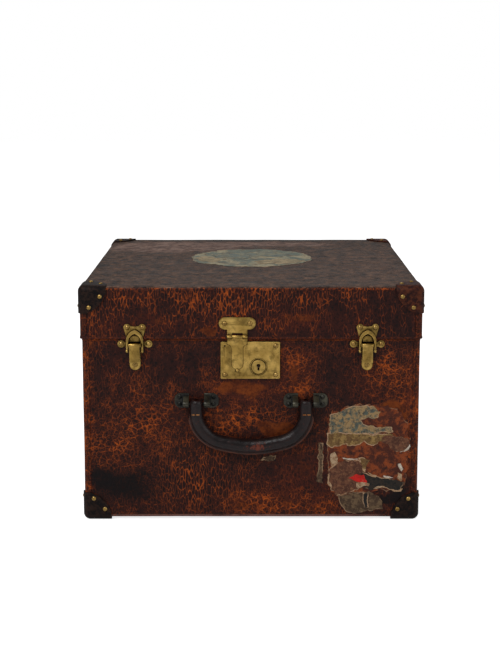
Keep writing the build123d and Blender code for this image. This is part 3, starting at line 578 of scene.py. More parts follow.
def shellOf(low, high, seamX, floorZ, ceilingZ, roundLow):
    # the rounded box that a set of hides lies on
    return {
        "half": ((high.x - low.x) / 2, (high.y - low.y) / 2),
        "middle": (low.y + high.y) / 2,
        "seam": seamX, "floor": floorZ, "ceiling": ceilingZ, "roundLow": roundLow,
    }


bodyShell = shellOf(sidesLow, sidesHigh, frontHigh.x, baseLow.z, frontHigh.z, True)
lidShell = shellOf(lidSidesLow, lidSidesHigh, lidFrontHigh.x, lidFrontLow.z, topHigh.z, False)
millimetres = 1 / mm


def ripple(x, y, z):
    # the slight unevenness of a hide glued to a board, never proud of the board's size
    broad = noise.noise(Vector((x, y, z)) * 17.0) * hides["broadWave"]
    fine = noise.noise(Vector((x + 3, y, z)) * 85.0) * hides["fineWave"]
    return broad + fine - hides["sunk"]


def ringLength(shell):
    radius = hides["cornerRadius"]
    return 4 * (shell["half"][0] - radius) + 4 * (shell["half"][1] - radius) + 2 * math.pi * radius


def ringPoint(shell, along, inset=0.0):
    # walks round the box from the middle of the front, towards +X
    radius = hides["cornerRadius"]
    a, b = shell["half"][0] - radius, shell["half"][1] - radius
    middle = shell["middle"]
    arc = radius * math.pi / 2
    along %= ringLength(shell)
    runs = [a, arc, 2 * b, arc, 2 * a, arc, 2 * b, arc, a]
    index = 0
    while index < len(runs) - 1 and along > runs[index]:
        along -= runs[index]
        index += 1
    if index % 2:
        corner = (index - 1) // 2
        centre = [(a, middle - b), (a, middle + b), (-a, middle + b), (-a, middle - b)][corner]
        angle = -math.pi / 2 + corner * math.pi / 2 + along / radius
        normal = (math.cos(angle), math.sin(angle))
        return (centre[0] + (radius - inset) * normal[0],
                centre[1] + (radius - inset) * normal[1], *normal)
    if index in (0, 8):
        x = along if index == 0 else -a + along
        return (x, middle - b - radius + inset, 0.0, -1.0)
    if index == 2:
        return (a + radius - inset, middle - b + along, 1.0, 0.0)
    if index == 4:
        return (a - along, middle + b + radius - inset, 0.0, 1.0)
    return (-a - radius + inset, middle + b - along, -1.0, 0.0)


def wallPoint(shell, along, z):
    # a point of the wall and its outward normal, with the long edges rounded
    radius = hides["cornerRadius"]
    if shell["roundLow"]:
        over = max(0.0, shell["floor"] + radius - z)
    else:
        over = max(0.0, z - (shell["ceiling"] - radius))
    over = min(over, radius)
    inset = radius - math.sqrt(radius * radius - over * over)
    x, y, nx, ny = ringPoint(shell, along, inset)
    lean = over / radius
    flat = math.sqrt(1 - lean * lean)
    return Vector((x, y, z)), Vector((nx * flat, ny * flat, -lean if shell["roundLow"] else lean))


def stations(start, end, extra=()):
    # evenly spaced lines, with closer ones where an edge rolls over
    count = max(2, round((end - start) / hides["cell"]))
    lines = [start + (end - start) * i / count for i in range(count + 1)]
    for near in hides["closeLines"]:
        lines += [start + near, end - near]
    lines += [value for value in extra if start < value < end]
    lines.sort()
    kept = [lines[0]]
    for value in lines[1:]:
        if value - kept[-1] > hides["closest"]:
            kept.append(value)
    kept[-1] = end
    return kept


def rolled(distance):
    # how far an edge drops towards its cut
    reach = hides["edgeRoll"]
    if distance >= reach:
        return 0.0
    return reach * 0.75 * (1 - math.sqrt(max(0.0, 1 - (1 - distance / reach) ** 2)))


def keepValues(mesh, name, values):
    layer = mesh.attributes.new(name, "FLOAT", "POINT")
    layer.data.foreach_set("value", np.array(values, np.float32))


def paintSurface(mesh, marks, where):
    # marks: softly edged places where the leather is worn, bare, dark, red or streaked
    across = np.array([p[0] for p in where]) * millimetres
    up = np.array([p[1] for p in where]) * millimetres
    # their outlines wander, broadly and finely: size of the waves, layer of the noise, reach
    shifts = [(np.array([noise.noise_vector(Vector((a / size, b / size, layer)))
                         for a, b in zip(across, up)]), reach)
              for size, layer, reach in ((26.0, 5.0, 11), (8.0, 9.0, 4))]
    for shift, reach in shifts:
        across = across + shift[:, 0] * reach
        up = up + shift[:, 1] * reach
    for name in ("wear", "bare", "dark", "red", "streak", "pale"):
        values = np.full(len(across), float(marks.get("all", {}).get(name, 0.0)))
        for x, z, wide, high, amount in marks.get(name, ()):
            values += amount * np.exp(-(((across - x) / wide) ** 2 + ((up - z) / high) ** 2) ** 1.3)
        keepValues(mesh, name, np.clip(values, 0, 1))


def closedSheet(outer, inner, rows, columns):
    # a sheet with thickness from two matching grids
    verts = [p for row in outer for p in row] + [p for row in inner for p in row]
    half = rows * columns
    faces = []
    for r in range(rows - 1):
        for c in range(columns - 1):
            a = r * columns + c
            quad = (a, a + 1, a + columns + 1, a + columns)
            faces.append(quad)
            faces.append(tuple(half + v for v in reversed(quad)))
    rim = [(r, 0) for r in range(rows - 1, -1, -1)] + [(0, c) for c in range(1, columns)]
    rim += [(r, columns - 1) for r in range(1, rows)]
    rim += [(rows - 1, c) for c in range(columns - 2, 0, -1)]
    ring = [r * columns + c for r, c in rim]
    for first, second in zip(ring, ring[1:] + ring[:1]):
        faces.append((second, first, half + first, half + second))
    return verts, faces


def meshOf(name, verts, faces, turned=False):
    mesh = bpy.data.meshes.new(name)
    mesh.from_pydata(verts, [], faces)
    if turned:
        work = bmesh.new()
        work.from_mesh(mesh)
        bmesh.ops.recalc_face_normals(work, faces=work.faces)
        work.to_mesh(mesh)
        work.free()
    return mesh


def finishPiece(name, mesh, finish, body, replaced=(), sharp=45):
    for polygon in mesh.polygons:
        polygon.use_smooth = True
    if sharp:
        mesh.set_sharp_from_angle(angle=math.radians(sharp))
    mesh.materials.clear()
    mesh.materials.append(finish)
    piece = bpy.data.objects.new(name, mesh)
    scene.collection.objects.link(piece)
    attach(piece, body)
    if replaced:
        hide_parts(*replaced)


def gathered(sheets):
    # several closed sheets as one list of points and one of faces
    verts, faces = [], []
    for points, loops in sheets:
        base = len(verts)
        verts += points
        faces += [tuple(base + v for v in loop) for loop in loops]
    return verts, faces


def wallHide(shell, start, end, low, high, rise):
    # one hide of the wall; rise lifts its upright edges where they lap the next hide
    radius = hides["cornerRadius"]
    total = ringLength(shell)
    corners = []
    a, b = shell["half"][0] - radius, shell["half"][1] - radius
    arc = radius * math.pi / 2
    marks = [a, a + arc + 2 * b, 3 * a + 2 * arc + 2 * b, 3 * a + 3 * arc + 4 * b]
    for mark in marks:
        corners += [mark + arc * step / 6 for step in range(7)]
        corners += [mark - total + arc * step / 6 for step in range(7)]
    levels = stations(low, high, [shell["floor"] + radius, shell["ceiling"] - radius,
                                  shell["floor"] + 0.7 * radius, shell["ceiling"] - 0.7 * radius])
    alongs = stations(start, end, corners)
    outer, inner, where = [], [], []
    for z in levels:
        outerRow, innerRow = [], []
        for along in alongs:
            point, normal = wallPoint(shell, along, z)
            edge = min(along - start, end - along)
            height = ripple(*point) - rolled(edge) - rolled(min(z - low, high - z))
            height += rise * max(0.0, 1 - edge / hides["lap"]) ** 0.5 if rise else 0.0
            outerRow.append(point + normal * height)
            innerRow.append(point - normal * hides["thickness"])
            middle = along if abs(along) < total / 4 else along - total / 2
            where.append((middle, z))
        outer.append(outerRow)
        inner.append(innerRow)
    return outer, inner, where, len(levels), len(alongs)


def makeWalls(name, shell, spans, low, high, marks, body, replaced):
    sheets, places = [], []
    for start, end, rise, offset in spans:
        outer, inner, where, rows, columns = wallHide(shell, start, end, low, high, rise)
        sheets.append(closedSheet(outer, inner, rows, columns))
        places += [(p[0] + offset, p[1]) for p in where] * 2
    mesh = meshOf(name, *gathered(sheets))
    paintSurface(mesh, marks, places)
    finishPiece(name, mesh, finishes["case"], body, replaced)


# where the front has worn: across and up in millimetres, reach both ways, how much
frontMarks = {
    "all": {"wear": 0.22, "streak": 0.45, "red": 0.28, "bare": 0.0, "dark": 0.08},
    "wear": [
        (-122, 124, 30, 25, 0.33), (-165, 90, 27, 24, 0.28), (-92, 92, 26, 18, 0.22),
        (-62, 48, 42, 34, 0.2), (-8, 24, 34, 15, 0.36), (46, 20, 34, 13, 0.36), (88, 16, 24, 10, 0.3),
        (-34, 118, 22, 20, 0.3), (2, 128, 42, 18, 0.34), (50, 188, 15, 24, 0.48),
        (60, 160, 16, 16, 0.25),
        (160, 174, 24, 26, 0.34), (186, 150, 12, 24, 0.3), (-44, 166, 18, 16, 0.34),
        (-132, 165, 22, 10, 0.15),
        (-160, 200, 34, 20, -0.14), (-80, 200, 34, 22, -0.12), (104, 186, 22, 30, -0.1),
        (118, 140, 22, 16, -0.1),
        (-193, 110, 6, 110, 0.3), (196, 110, 8, 120, 0.35), (-160, 140, 30, 14, 0.1),
        (-40, 80, 20, 10, 0.1),
    ],
    "bare": [
        (-14, 164, 32, 10, 0.95), (32, 111, 26, 8, 1.0), (166, 130, 20, 14, 1.0),
        (176, 112, 10, 10, 0.7),
        (64, 66, 22, 22, 0.34), (10, 92, 10, 5, 0.5), (-36, 122, 12, 10, 0.35), (50, 182, 7, 18, 0.5),
        (36, 24, 26, 9, 0.42), (-10, 20, 16, 10, 0.4), (168, 178, 12, 10, 0.3),
        (-120, 112, 16, 8, 0.32),
        (-198, 217, 8, 8, 0.9), (160, 78, 26, 14, 0.75), (138, 92, 16, 5, 0.6), (184, 60, 8, 20, 0.5),
    ],
    "dark": [
        (-162, 50, 40, 18, 0.55), (-178, 30, 28, 22, 0.45), (-136, 38, 26, 14, 0.45),
        (-120, 60, 16, 8, 0.2),
        (162, 30, 18, 13, 0.9), (-150, 205, 50, 14, 0.15), (-190, 196, 12, 26, 0.3),
        (112, 200, 20, 22, 0.15), (-60, 150, 26, 10, 0.12), (178, 40, 10, 20, 0.6),
    ],
    "red": [
        (64, 64, 40, 40, 0.55), (-15, 160, 40, 20, 0.6), (50, 185, 24, 36, 0.4), (110, 60, 30, 40, 0.3),
        (-80, 130, 60, 30, 0.15), (-150, 205, 60, 30, 0.12), (196, 110, 10, 120, 0.6),
        (-196, 110, 8, 120, 0.5),
        (150, 180, 40, 40, 0.2), (0, 20, 80, 20, 0.3),
    ],
    "streak": [
        (-60, 50, 50, 50, 0.5), (-122, 124, 34, 26, -0.5), (-165, 90, 28, 24, -0.4),
        (0, 125, 50, 24, -0.4),
        (160, 176, 30, 32, -0.4), (50, 188, 20, 30, -0.4), (30, 20, 60, 18, -0.35),
        (-150, 200, 60, 30, 0.3),
    ],
}
lidFrontMarks = {
    "all": {"wear": 0.14, "streak": 0.95, "red": 0.3, "bare": 0.0, "dark": 0.04},
    "wear": [
        (-120, 274, 60, 11, 0.34), (-40, 268, 44, 18, 0.32), (-165, 262, 18, 16, 0.2),
        (10, 274, 36, 12, 0.24),
        (80, 276, 40, 8, 0.24), (-90, 250, 30, 8, 0.1), (-14, 256, 16, 12, 0.3), (-47, 234, 8, 6, 0.4),
        (-185, 245, 8, 20, 0.3), (120, 270, 20, 10, 0.1), (160, 250, 26, 26, -0.05),
        (25, 240, 14, 10, 0.15),
    ],
    "bare": [(-48, 234, 7, 4, 0.9), (60, 250, 44, 10, 0.42), (-120, 244, 50, 7, 0.3),
        (172, 283, 10, 5, 0.7),
             (-52, 229, 12, 3, 0.6)],
    "dark": [(150, 250, 44, 26, 0.22), (-190, 262, 10, 20, 0.2), (100, 230, 60, 6, 0.12)],
    "red": [(-120, 238, 70, 13, 0.55), (66, 246, 60, 17, 0.75), (-20, 240, 40, 14, 0.3),
        (0, 280, 200, 6, 0.2),
            (193, 250, 8, 30, 0.5)],
    "streak": [],
}
sideMarks = {
    "all": {"wear": 0.34, "streak": 0.4, "red": 0.4, "dark": 0.03},
    "wear": [(-90, 120, 50, 40, 0.3), (60, 60, 60, 34, 0.32), (110, 170, 40, 30, 0.3),
        (-150, 60, 30, 50, 0.2),
             (0, 190, 60, 18, 0.2), (-196, 110, 10, 130, 0.35), (196, 110, 10, 130, 0.35),
             (20, 265, 90, 12, 0.3)],
    "bare": [(20, 110, 40, 16, 0.5), (-120, 40, 26, 12, 0.45), (150, 200, 14, 14, 0.6),
        (-60, 200, 18, 9, 0.5)],
    "dark": [(110, 40, 50, 22, 0.75), (-30, 150, 40, 16, 0.4), (-160, 180, 24, 26, 0.5)],
    "red": [(0, 100, 90, 60, 0.3), (-196, 110, 12, 150, 0.5), (196, 110, 12, 150, 0.5)],
    "streak": [(60, 60, 60, 40, 0.4)],
}
backMarks = {
    "all": {"wear": 0.4, "streak": 0.5, "red": 0.34, "dark": 0.04},
    "wear": [(100, 110, 60, 40, 0.28), (-70, 60, 70, 30, 0.3), (0, 180, 50, 24, 0.25),
        (-150, 150, 34, 40, 0.3),
             (60, 262, 90, 12, 0.3), (-110, 255, 50, 14, 0.25)],
    "bare": [(-20, 90, 50, 14, 0.6), (130, 60, 24, 16, 0.5), (-140, 190, 20, 10, 0.5),
        (0, 160, 30, 8, 0.4)],
    "dark": [(-130, 36, 46, 18, 0.8), (90, 190, 40, 14, 0.4)],
    "red": [(40, 80, 90, 50, 0.4)],
    "streak": [(-70, 60, 60, 40, 0.4)],
}


def clothe(body, shell, low, high, front):
    total = ringLength(shell)
    seam = shell["seam"]
    rise = hides["wrapRise"]
    spans = {  # start and end round the ring, lift of the lapped edges, shift of the marks
        "Front": [(-seam, seam, 0, 0)],
        "Back": [(total / 2 - seam, total / 2 + seam, 0, 0)],
        "Side": [(seam, total / 2 - seam, rise, -total / 4),
                 (total / 2 + seam, total - seam, rise, total / 4 - total / 2)],
    }
    for side, marks in (("Front", front), ("Back", backMarks), ("Side", sideMarks)):
        plural = "s" if side == "Side" else ""
        makeWalls(body + side + "Hide" + plural, shell, spans[side], low, high, marks, body,
                  [body + "_" + side.lower() + "_leather" + plural])


clothe("body", bodyShell, frontLow.z, frontHigh.z, frontMarks)
clothe("lid", lidShell, lidFrontLow.z, lidFrontHigh.z, lidFrontMarks)


def makeCover(name, shell, plane, facing, marks, finish, body, replaced):
    # the top or base hide, turned down over the rounded edges as a hem that looks like the walls
    radius = hides["cornerRadius"]
    a, b = shell["half"][0] - radius, shell["half"][1] - radius
    turn = math.acos(1 - hides["hem"] / radius)
    lines = hides["hemLines"]
    edges = [step * turn * radius / lines for step in range(1, lines + 1)]
    columns = stations(-a, a) + [a + e for e in edges]
    columns = [-a - e for e in reversed(edges)] + columns
    rows = stations(-b, b) + [b + e for e in edges]
    rows = [-b - e for e in reversed(edges)] + rows
    outer, inner, where = [], [], []
    for q in rows:
        outerRow, innerRow = [], []
        for p in columns:
            cx, cy = max(-a, min(a, p)), max(-b, min(b, q))
            ex, ey = p - cx, q - cy
            away = math.hypot(ex, ey)
            reach = max(abs(ex), abs(ey))
            side = Vector((ex, ey, 0)) / away if away > 1e-9 else Vector((0, 0, 0))
            angle = reach / radius
            centre = Vector((cx, cy + shell["middle"], plane - facing * radius))
            normal = side * math.sin(angle) + Vector((0, 0, facing * math.cos(angle)))
            point = centre + normal * radius
            height = ripple(*point) - rolled(turn * radius - reach)
            outerRow.append(point + normal * height)
            innerRow.append(point - normal * hides["thickness"])
            where.append((p, q))
        outer.append(outerRow)
        inner.append(innerRow)
    verts, faces = closedSheet(outer, inner, len(rows), len(columns))
    if facing < 0:
        faces = [tuple(reversed(face)) for face in faces]
    mesh = meshOf(name, verts, faces)
    paintSurface(mesh, marks, where * 2)
    finishPiece(name, mesh, finishes[finish], body, [replaced])
    mesh.materials.append(finishes["case"])
    for polygon in mesh.polygons:
        if facing * (polygon.center.z - plane) < -0.3 * radius:
            polygon.material_index = 1


topMarks = {  # across and back from the middle of the lid, in millimetres
    "all": {"wear": 0.66, "streak": 0.85, "red": 0.2, "dark": 0.1},
    "streak": [(0, -206, 400, 9, 0.9), (0, 206, 400, 9, 0.9), (-206, 0, 9, 400, 0.9),
        (206, 0, 9, 400, 0.9)],
    "wear": [(-60, -204, 170, 5, 0.05), (80, -204, 170, 5, -0.2), (0, -150, 200, 50, 0.14),
             (-120, 60, 60, 70, 0.15), (120, 0, 60, 90, 0.1)],
    "bare": [(-120, 118, 100, 44, 1.0), (60, 140, 90, 20, 0.4), (-20, 156, 120, 20, 0.7),
        (120, -60, 50, 20, 0.15),
             (-90, -120, 60, 22, 0.16), (40, -60, 60, 12, 0.14)],
    "dark": [(0, 196, 230, 16, 0.75), (196, 0, 8, 230, 0.4), (-196, 0, 8, 230, 0.4),
             (150, 150, 40, 30, 0.4), (60, 60, 50, 20, 0.2)],
    "red": [(-130, 130, 90, 40, 0.7), (180, -40, 60, 160, 0.6), (60, 150, 90, 30, 0.5),
        (0, -203, 230, 5, 0.8)],
}
baseMarks = {
    "all": {"wear": 0.3, "streak": 0.2, "red": 0.2, "dark": 0.2},
    "wear": [(80, 60, 80, 80, 0.3), (-100, -60, 70, 90, 0.3)],
    "bare": [(0, 0, 120, 60, 0.3)],
    "dark": [(-60, 90, 80, 50, 0.6)],
    "pale": [(0, -202, 200, 7, 1.0)],
}
makeCover("lidTopHide", lidShell, topHigh.z, 1, topMarks, "top", "lid",
          "lid_top_leather")
makeCover("baseHide", bodyShell, baseLow.z, -1, baseMarks, "case", "body",
          "body_base_leather")
print("hides cut and glued")

# torn paper labels pasted on the leather
labels = {
    "paper": 0.15 * mm, "lift": 0.02 * mm, "curl": 0.5 * mm, "cockle": 0.10 * mm,
    # the rest in plain millimetres, as the outlines are drawn
    "grid": 2.2, "side": 1.6, "tear": 1.6, "jag": 5.5, "fineJag": 1.7, "fineShare": 0.45,
    "curlReach": 3.0, "rimReach": 1.8,
}


def tornOutline(corners, tear, seed):
    # breaks straight sides into short ragged ones
    points = []
    for (x0, z0), (x1, z1) in zip(corners, corners[1:] + corners[:1]):
        length = math.hypot(x1 - x0, z1 - z0)
        steps = max(1, round(length / labels["side"]))
        for i in range(steps):
            t = i / steps
            x, z = x0 + (x1 - x0) * t, z0 + (z1 - z0) * t
            jag = noise.noise_vector(Vector((x / labels["jag"], z / labels["jag"], seed)))
            fine = noise.noise_vector(Vector((x / labels["fineJag"], z / labels["fineJag"], seed + 7)))
            points.append((x + tear * (labels["tear"] * jag.x + labels["fineShare"] * fine.x),
                           z + tear * (labels["tear"] * jag.y + labels["fineShare"] * fine.y)))
    return points


def sideDistance(x, z, outline):
    nearest = 1e9
    for (x0, z0), (x1, z1) in zip(outline, outline[1:] + outline[:1]):
        dx, dz = x1 - x0, z1 - z0
        t = max(0.0, min(1.0, ((x - x0) * dx + (z - z0) * dz) / max(dx * dx + dz * dz, 1e-9)))
        nearest = min(nearest, math.hypot(x - x0 - dx * t, z - z0 - dz * t))
    return nearest


def tornSheet(name, corners, layer, place, finish, body, replaced, tear, seed):
    # place turns (across, up, height) in metres into a point of the scene
    outline = tornOutline(corners, labels["tear"] * tear, seed)
    xs, zs = [p[0] for p in outline], [p[1] for p in outline]
    grid = labels["grid"]
    points = [Vector(p) for p in outline]
    edges = [(i, (i + 1) % len(points)) for i in range(len(points))]
    z = min(zs) + grid / 2
    row = 0
    while z < max(zs):
        x = min(xs) + grid / 2 + (grid / 2 if row % 2 else 0)
        while x < max(xs):
            points.append(Vector((x, z)))
            x += grid
        z += grid * 0.87
        row += 1
    flat, _, triangles, _, _, _ = delaunay_2d_cdt(points, edges, [list(range(len(outline)))], 1, 1e-4)
    rims, tops = [], []
    base = labels["lift"] + layer * labels["paper"]
    for point in flat:
        away = sideDistance(point.x, point.y, outline)
        raised = labels["curl"] * max(0.0, 1 - away / labels["curlReach"]) ** 2
        raised *= max(0.0, 0.25 + 0.9 * noise.noise(Vector((point.x / 9, point.y / 9, seed + 3))))
        swell = noise.noise(Vector((point.x / 7, point.y / 7, seed + 11)))
        cockle = labels["cockle"] * (0.5 + 0.5 * swell)
        tops.append((point.x * mm, point.y * mm, base + labels["paper"] + raised + cockle))
        rims.append(max(0.0, 1 - away / labels["rimReach"]))
    count = len(tops)
    verts = [place(*p) for p in tops] + [place(x, y, h - labels["paper"]) for x, y, h in tops]
    borders = {}
    faces = []
    for tri in triangles:
        faces.append(tuple(tri))
        faces.append(tuple(count + v for v in reversed(tri)))
        for a, b in zip(tri, list(tri[1:]) + [tri[0]]):
            if (b, a) in borders:
                del borders[(b, a)]
            else:
                borders[(a, b)] = True
    faces += [(b, a, count + a, count + b) for a, b in borders]
    mesh = meshOf(name, verts, faces, turned=True)
    keepValues(mesh, "rim", rims * 2)
    finishPiece(name, mesh, finish, body, replaced, sharp=60)


def onFront(x, z, height):
    face = frontLow.y
    return Vector((x, face - ripple(x, face, z) - height, z))


topLabelLow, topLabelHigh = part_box("top_label")
labelMiddle = (topLabelLow.y + topLabelHigh.y) / 2


def onTop(x, y, height):
    plane = topHigh.z
    y += labelMiddle
    return Vector((x, y, plane + ripple(x, y, plane) + height))


paper = {
    "greyGreen": makePaper("greyGreenPaper", shade(170, 158, 128), shade(112, 120, 110),
        shade(104, 78, 58), 38.0, 0.5),
    "blueGrey": makePaper("blueGreyPaper", shade(82, 90, 82), shade(158, 130, 90),
        shade(58, 36, 26), 170.0, 1.0),
    "olive": makePaper("olivePaper", shade(152, 122, 70), shade(108, 80, 48), shade(50, 32, 24),
        130.0, 1.2),
    "skin": makePaper("skinnedPaper", shade(138, 64, 27), shade(76, 36, 25), shade(38, 22, 20),
        75.0, 0.35),
    "beige": makePaper("beigePaper", shade(108, 86, 62), shade(74, 56, 42), shade(42, 29, 24),
        130.0, 0.6),
    "brown": makePaper("brownPaper", shade(112, 70, 49), shade(78, 47, 36), shade(140, 98, 68),
        110.0, 1.0),
    "dark": makePaper("darkPaper", shade(27, 27, 27), shade(50, 42, 36), shade(16, 15, 16), 150.0,
        1.0),
    "sand": makePaper("sandPaper", shade(176, 156, 122), shade(146, 134, 108), shade(108, 84, 62),
        60.0, 0.6),
    "slate": makePaper("slatePaper", shade(106, 116, 110), shade(140, 138, 118),
        shade(92, 76, 60), 60.0, 0.5),
    "red": makePaper("redPaper", shade(204, 34, 26), shade(186, 30, 24), shade(150, 40, 30), 60.0,
        0.1),
    "cream": makePaper("creamPaper", shade(184, 156, 124), shade(146, 110, 80), shade(96, 62, 42),
        150.0, 0.5),
    "white": makePaper("whitePaper", shade(214, 206, 194), shade(190, 176, 158),
        shade(150, 120, 96), 150.0, 0.2),
}

# the cluster on the front, torn corners in millimetres: across from the middle and up from the floor
frontPapers = [
    ("skinPaper", "skin", -1, 1.4, [(90, 90), (91, 108), (94, 132), (108, 138), (124, 143),
        (146, 143), (164, 141),
        (178, 134), (186, 120), (189, 100), (188, 80), (186, 58), (184, 46), (170, 38), (150, 36),
        (120, 33), (98, 34),
        (92, 46), (92, 70)]),
    ("archPaper", "blueGrey", 0, 1.0, [(93, 106), (94, 131), (103, 134), (109, 137), (122, 141),
        (138, 142),
        (148, 139), (154, 134), (151, 126), (140, 127), (130, 125), (134, 119), (148, 115),
        (160, 115), (167, 117),
        (169, 109), (140, 107)]),
    ("bandPaper", "olive", 1, 0.9, [(90, 94), (90, 108), (104, 108), (126, 108), (150, 107),
        (168, 106), (164, 100),
        (152, 98), (146, 92), (134, 97), (120, 92), (109, 95), (98, 89)]),
    ("lobePaper", "brown", 2, 0.9, [(160, 106), (172, 104), (187, 103), (190, 94), (183, 86),
        (170, 86), (163, 94),
        (154, 98)]),
    ("lobeLip", "white", 3, 0.5, [(189, 95), (190, 92), (187, 88), (183, 85), (177, 85), (182, 87),
        (186, 90)]),
    ("brownPaper", "brown", 1, 1.1, [(109, 74), (128, 75), (134, 70), (137, 63), (131, 58),
        (136, 50), (138, 42),
        (128, 38), (117, 34), (102, 31), (96, 40), (92, 52), (93, 63), (100, 70)]),
    ("footPaper", "beige", 0, 1.0, [(105, 31), (121, 35), (142, 36), (148, 32), (157, 25), (158, 14),
        (142, 12),
        (122, 8), (112, 12), (107, 22)]),
    ("blackPaper", "dark", 2, 0.9, [(131, 61), (140, 57), (150, 55), (167, 52), (182, 48), (181, 38),
        (167, 38),
        (157, 42), (146, 38), (136, 40), (134, 48)]),
    ("inkStrip", "dark", 3, 0.5, [(134, 35), (141, 35), (140, 26), (141, 16), (135, 16), (134, 25)]),
    ("redPaper", "red", 4, 0.6, [(117, 53), (125, 57), (135, 57), (139, 49), (137, 44), (131, 47),
        (126, 49)]),
    ("creamChip", "cream", 5, 0.5, [(126, 47), (133, 48), (142, 46), (141, 43), (133, 43), (129, 40),
        (126, 42)]),
    ("whiteFleck", "white", 1, 0.5, [(176, 70), (179, 70), (182, 64), (180, 61), (177, 65)]),
    ("creamFleck", "cream", 1, 0.6, [(176, 60), (180, 58), (181, 50), (178, 48), (175, 53)]),
    ("tornWhite", "cream", 2, 0.6, [(95, 83), (100, 85), (104, 78), (102, 69), (97, 66), (94, 74)]),
    ("tornRibbon", "white", 2, 0.4, [(109, 78), (114, 77), (121, 77), (128, 77), (127, 76),
        (118, 75), (110, 76)]),
    ("tornPeak", "olive", 2, 0.7, [(128, 78), (136, 78), (141, 75), (138, 66), (136, 60), (133, 64),
        (131, 72)]),
    ("tornLip", "cream", 3, 0.5, [(139, 60), (146, 57), (150, 56), (149, 54), (144, 55)]),
    ("tornBead", "white", 3, 0.5, [(158, 56), (166, 55), (170, 53), (164, 53), (159, 54)]),
    ("lowerLip", "cream", 3, 0.5, [(146, 39), (151, 42), (157, 44), (161, 42), (156, 42), (150, 39)]),
    ("lowerBead", "cream", 3, 0.5, [(168, 38), (175, 37), (182, 40), (180, 36), (172, 35)]),
    ("leftLip", "cream", 2, 0.6, [(92, 58), (94, 56), (94, 48), (97, 42), (96, 39), (92, 46)]),
    ("leftBead", "cream", 2, 0.6, [(103, 33), (110, 33), (117, 36), (113, 32), (105, 31)]),
    ("stripPaper", "beige", 0, 0.8, [(79, 47), (78, 54), (81, 62), (80, 80), (81, 96), (86, 96),
        (86, 70), (85, 52),
        (86, 47)]),
    ("faintPaper", "beige", 0, 0.9, [(11, 74), (13, 80), (18, 79), (22, 81), (29, 80), (28, 75),
        (22, 73), (16, 75)]),
]
for index, (name, kind, layer, tear, corners) in enumerate(frontPapers):
    tornSheet(name, corners, layer + 1, onFront, paper[kind], "body",
              ["front_labels"] if index == 0 else (), tear, 20 + index)

oval = []
for step in range(40):
    angle = 2 * math.pi * step / 40
    nibble = noise.noise(Vector((math.cos(angle) * 2.2, math.sin(angle) * 2.2, 4.0)))
    bite = 1 - 0.07 * max(0.0, nibble + 0.25)
    oval.append((82 * bite * math.cos(angle), 78 * bite * math.sin(angle)))
tornSheet("ovalPaper", oval, 0, onTop, paper["greyGreen"], "lid", ["top_label"], 1.8, 3)
ovalPatches = [
    ("ovalBluePatch", "slate", [(-44, 30), (-20, 48), (14, 42), (36, 50), (52, 30), (40, 4),
        (12, 10), (-8, -6),
        (-34, 0), (-52, 14)]),
    ("ovalBeigePatch", "sand", [(20, -20), (50, -12), (70, -22), (62, -42), (36, -56), (12, -48),
        (4, -32)]),
    ("ovalLeftPatch", "sand", [(-74, -2), (-60, 12), (-48, -2), (-40, -24), (-52, -40), (-68, -26)]),
]
for index, (name, kind, corners) in enumerate(ovalPatches):
    tornSheet(name, corners, 1, onTop, paper[kind], "lid", (), 1.7, 60 + index)
print("labels pasted")

# the handle: a leather tube bent to a bow, closed by a stitched flange on its outer side
handle = {
    "legX": 64.7 * mm, "top": 151.0 * mm, "cornerZ": 106.0 * mm, "lowZ": 92.6 * mm,
    "cornerRadius": 37.0 * mm, "lowRadius": 120.0 * mm,
    "radius": 8.2 * mm, "flangeWidth": 2.6 * mm, "flangeHalf": 1.1 * mm,
    "around": 44, "step": 1.5 * mm, "crease": 0.27 * mm, "lump": 0.14 * mm, "sunk": 0.2 * mm,
    "flangeStart": 17 * mm, "flangeGrows": 6 * mm, "flangeFrom": 0.93,
    "narrowEnd": 16 * mm, "creasesGrow": 30 * mm, "rubX": 8 * mm, "rubReach": 11 * mm,
}
gripLow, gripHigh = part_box("handle_grip")
handleY = (gripLow.y + gripHigh.y) / 2
pinZ = 146.0 * mm


def filletedPath(corners, radii, step):
    # straight runs joined by arcs, as evenly spaced points (across, up)
    points = [Vector(corners[0])]
    for before, corner, after, radius in zip(corners, corners[1:], corners[2:], radii):
        before, corner, after = Vector(before), Vector(corner), Vector(after)
        first, second = (before - corner).normalized(), (after - corner).normalized()
        half = first.angle(second) / 2
        centre = corner + (first + second).normalized() * (radius / math.sin(half))
        start = corner + first * (radius / math.tan(half))
        end = corner + second * (radius / math.tan(half))
        a0 = math.atan2(start.y - centre.y, start.x - centre.x)
        turn = math.atan2(end.y - centre.y, end.x - centre.x) - a0
        turn = (turn + math.pi) % (2 * math.pi) - math.pi
        pieces = max(4, round(abs(turn) * radius / step))
        for i in range(pieces + 1):
            angle = a0 + turn * i / pieces
            points.append(centre + radius * Vector((math.cos(angle), math.sin(angle))))
    points.append(Vector(corners[-1]))
    lengths = [0.0]
    for a, b in zip(points, points[1:]):
        lengths.append(lengths[-1] + (b - a).length)
    count = round(lengths[-1] / step)
    spaced, index = [], 0
    for i in range(count + 1):
        target = lengths[-1] * i / count
        while index < len(lengths) - 2 and lengths[index + 1] < target:
            index += 1
        share = (target - lengths[index]) / max(lengths[index + 1] - lengths[index], 1e-12)
        spaced.append(points[index].lerp(points[index + 1], share))
    return spaced


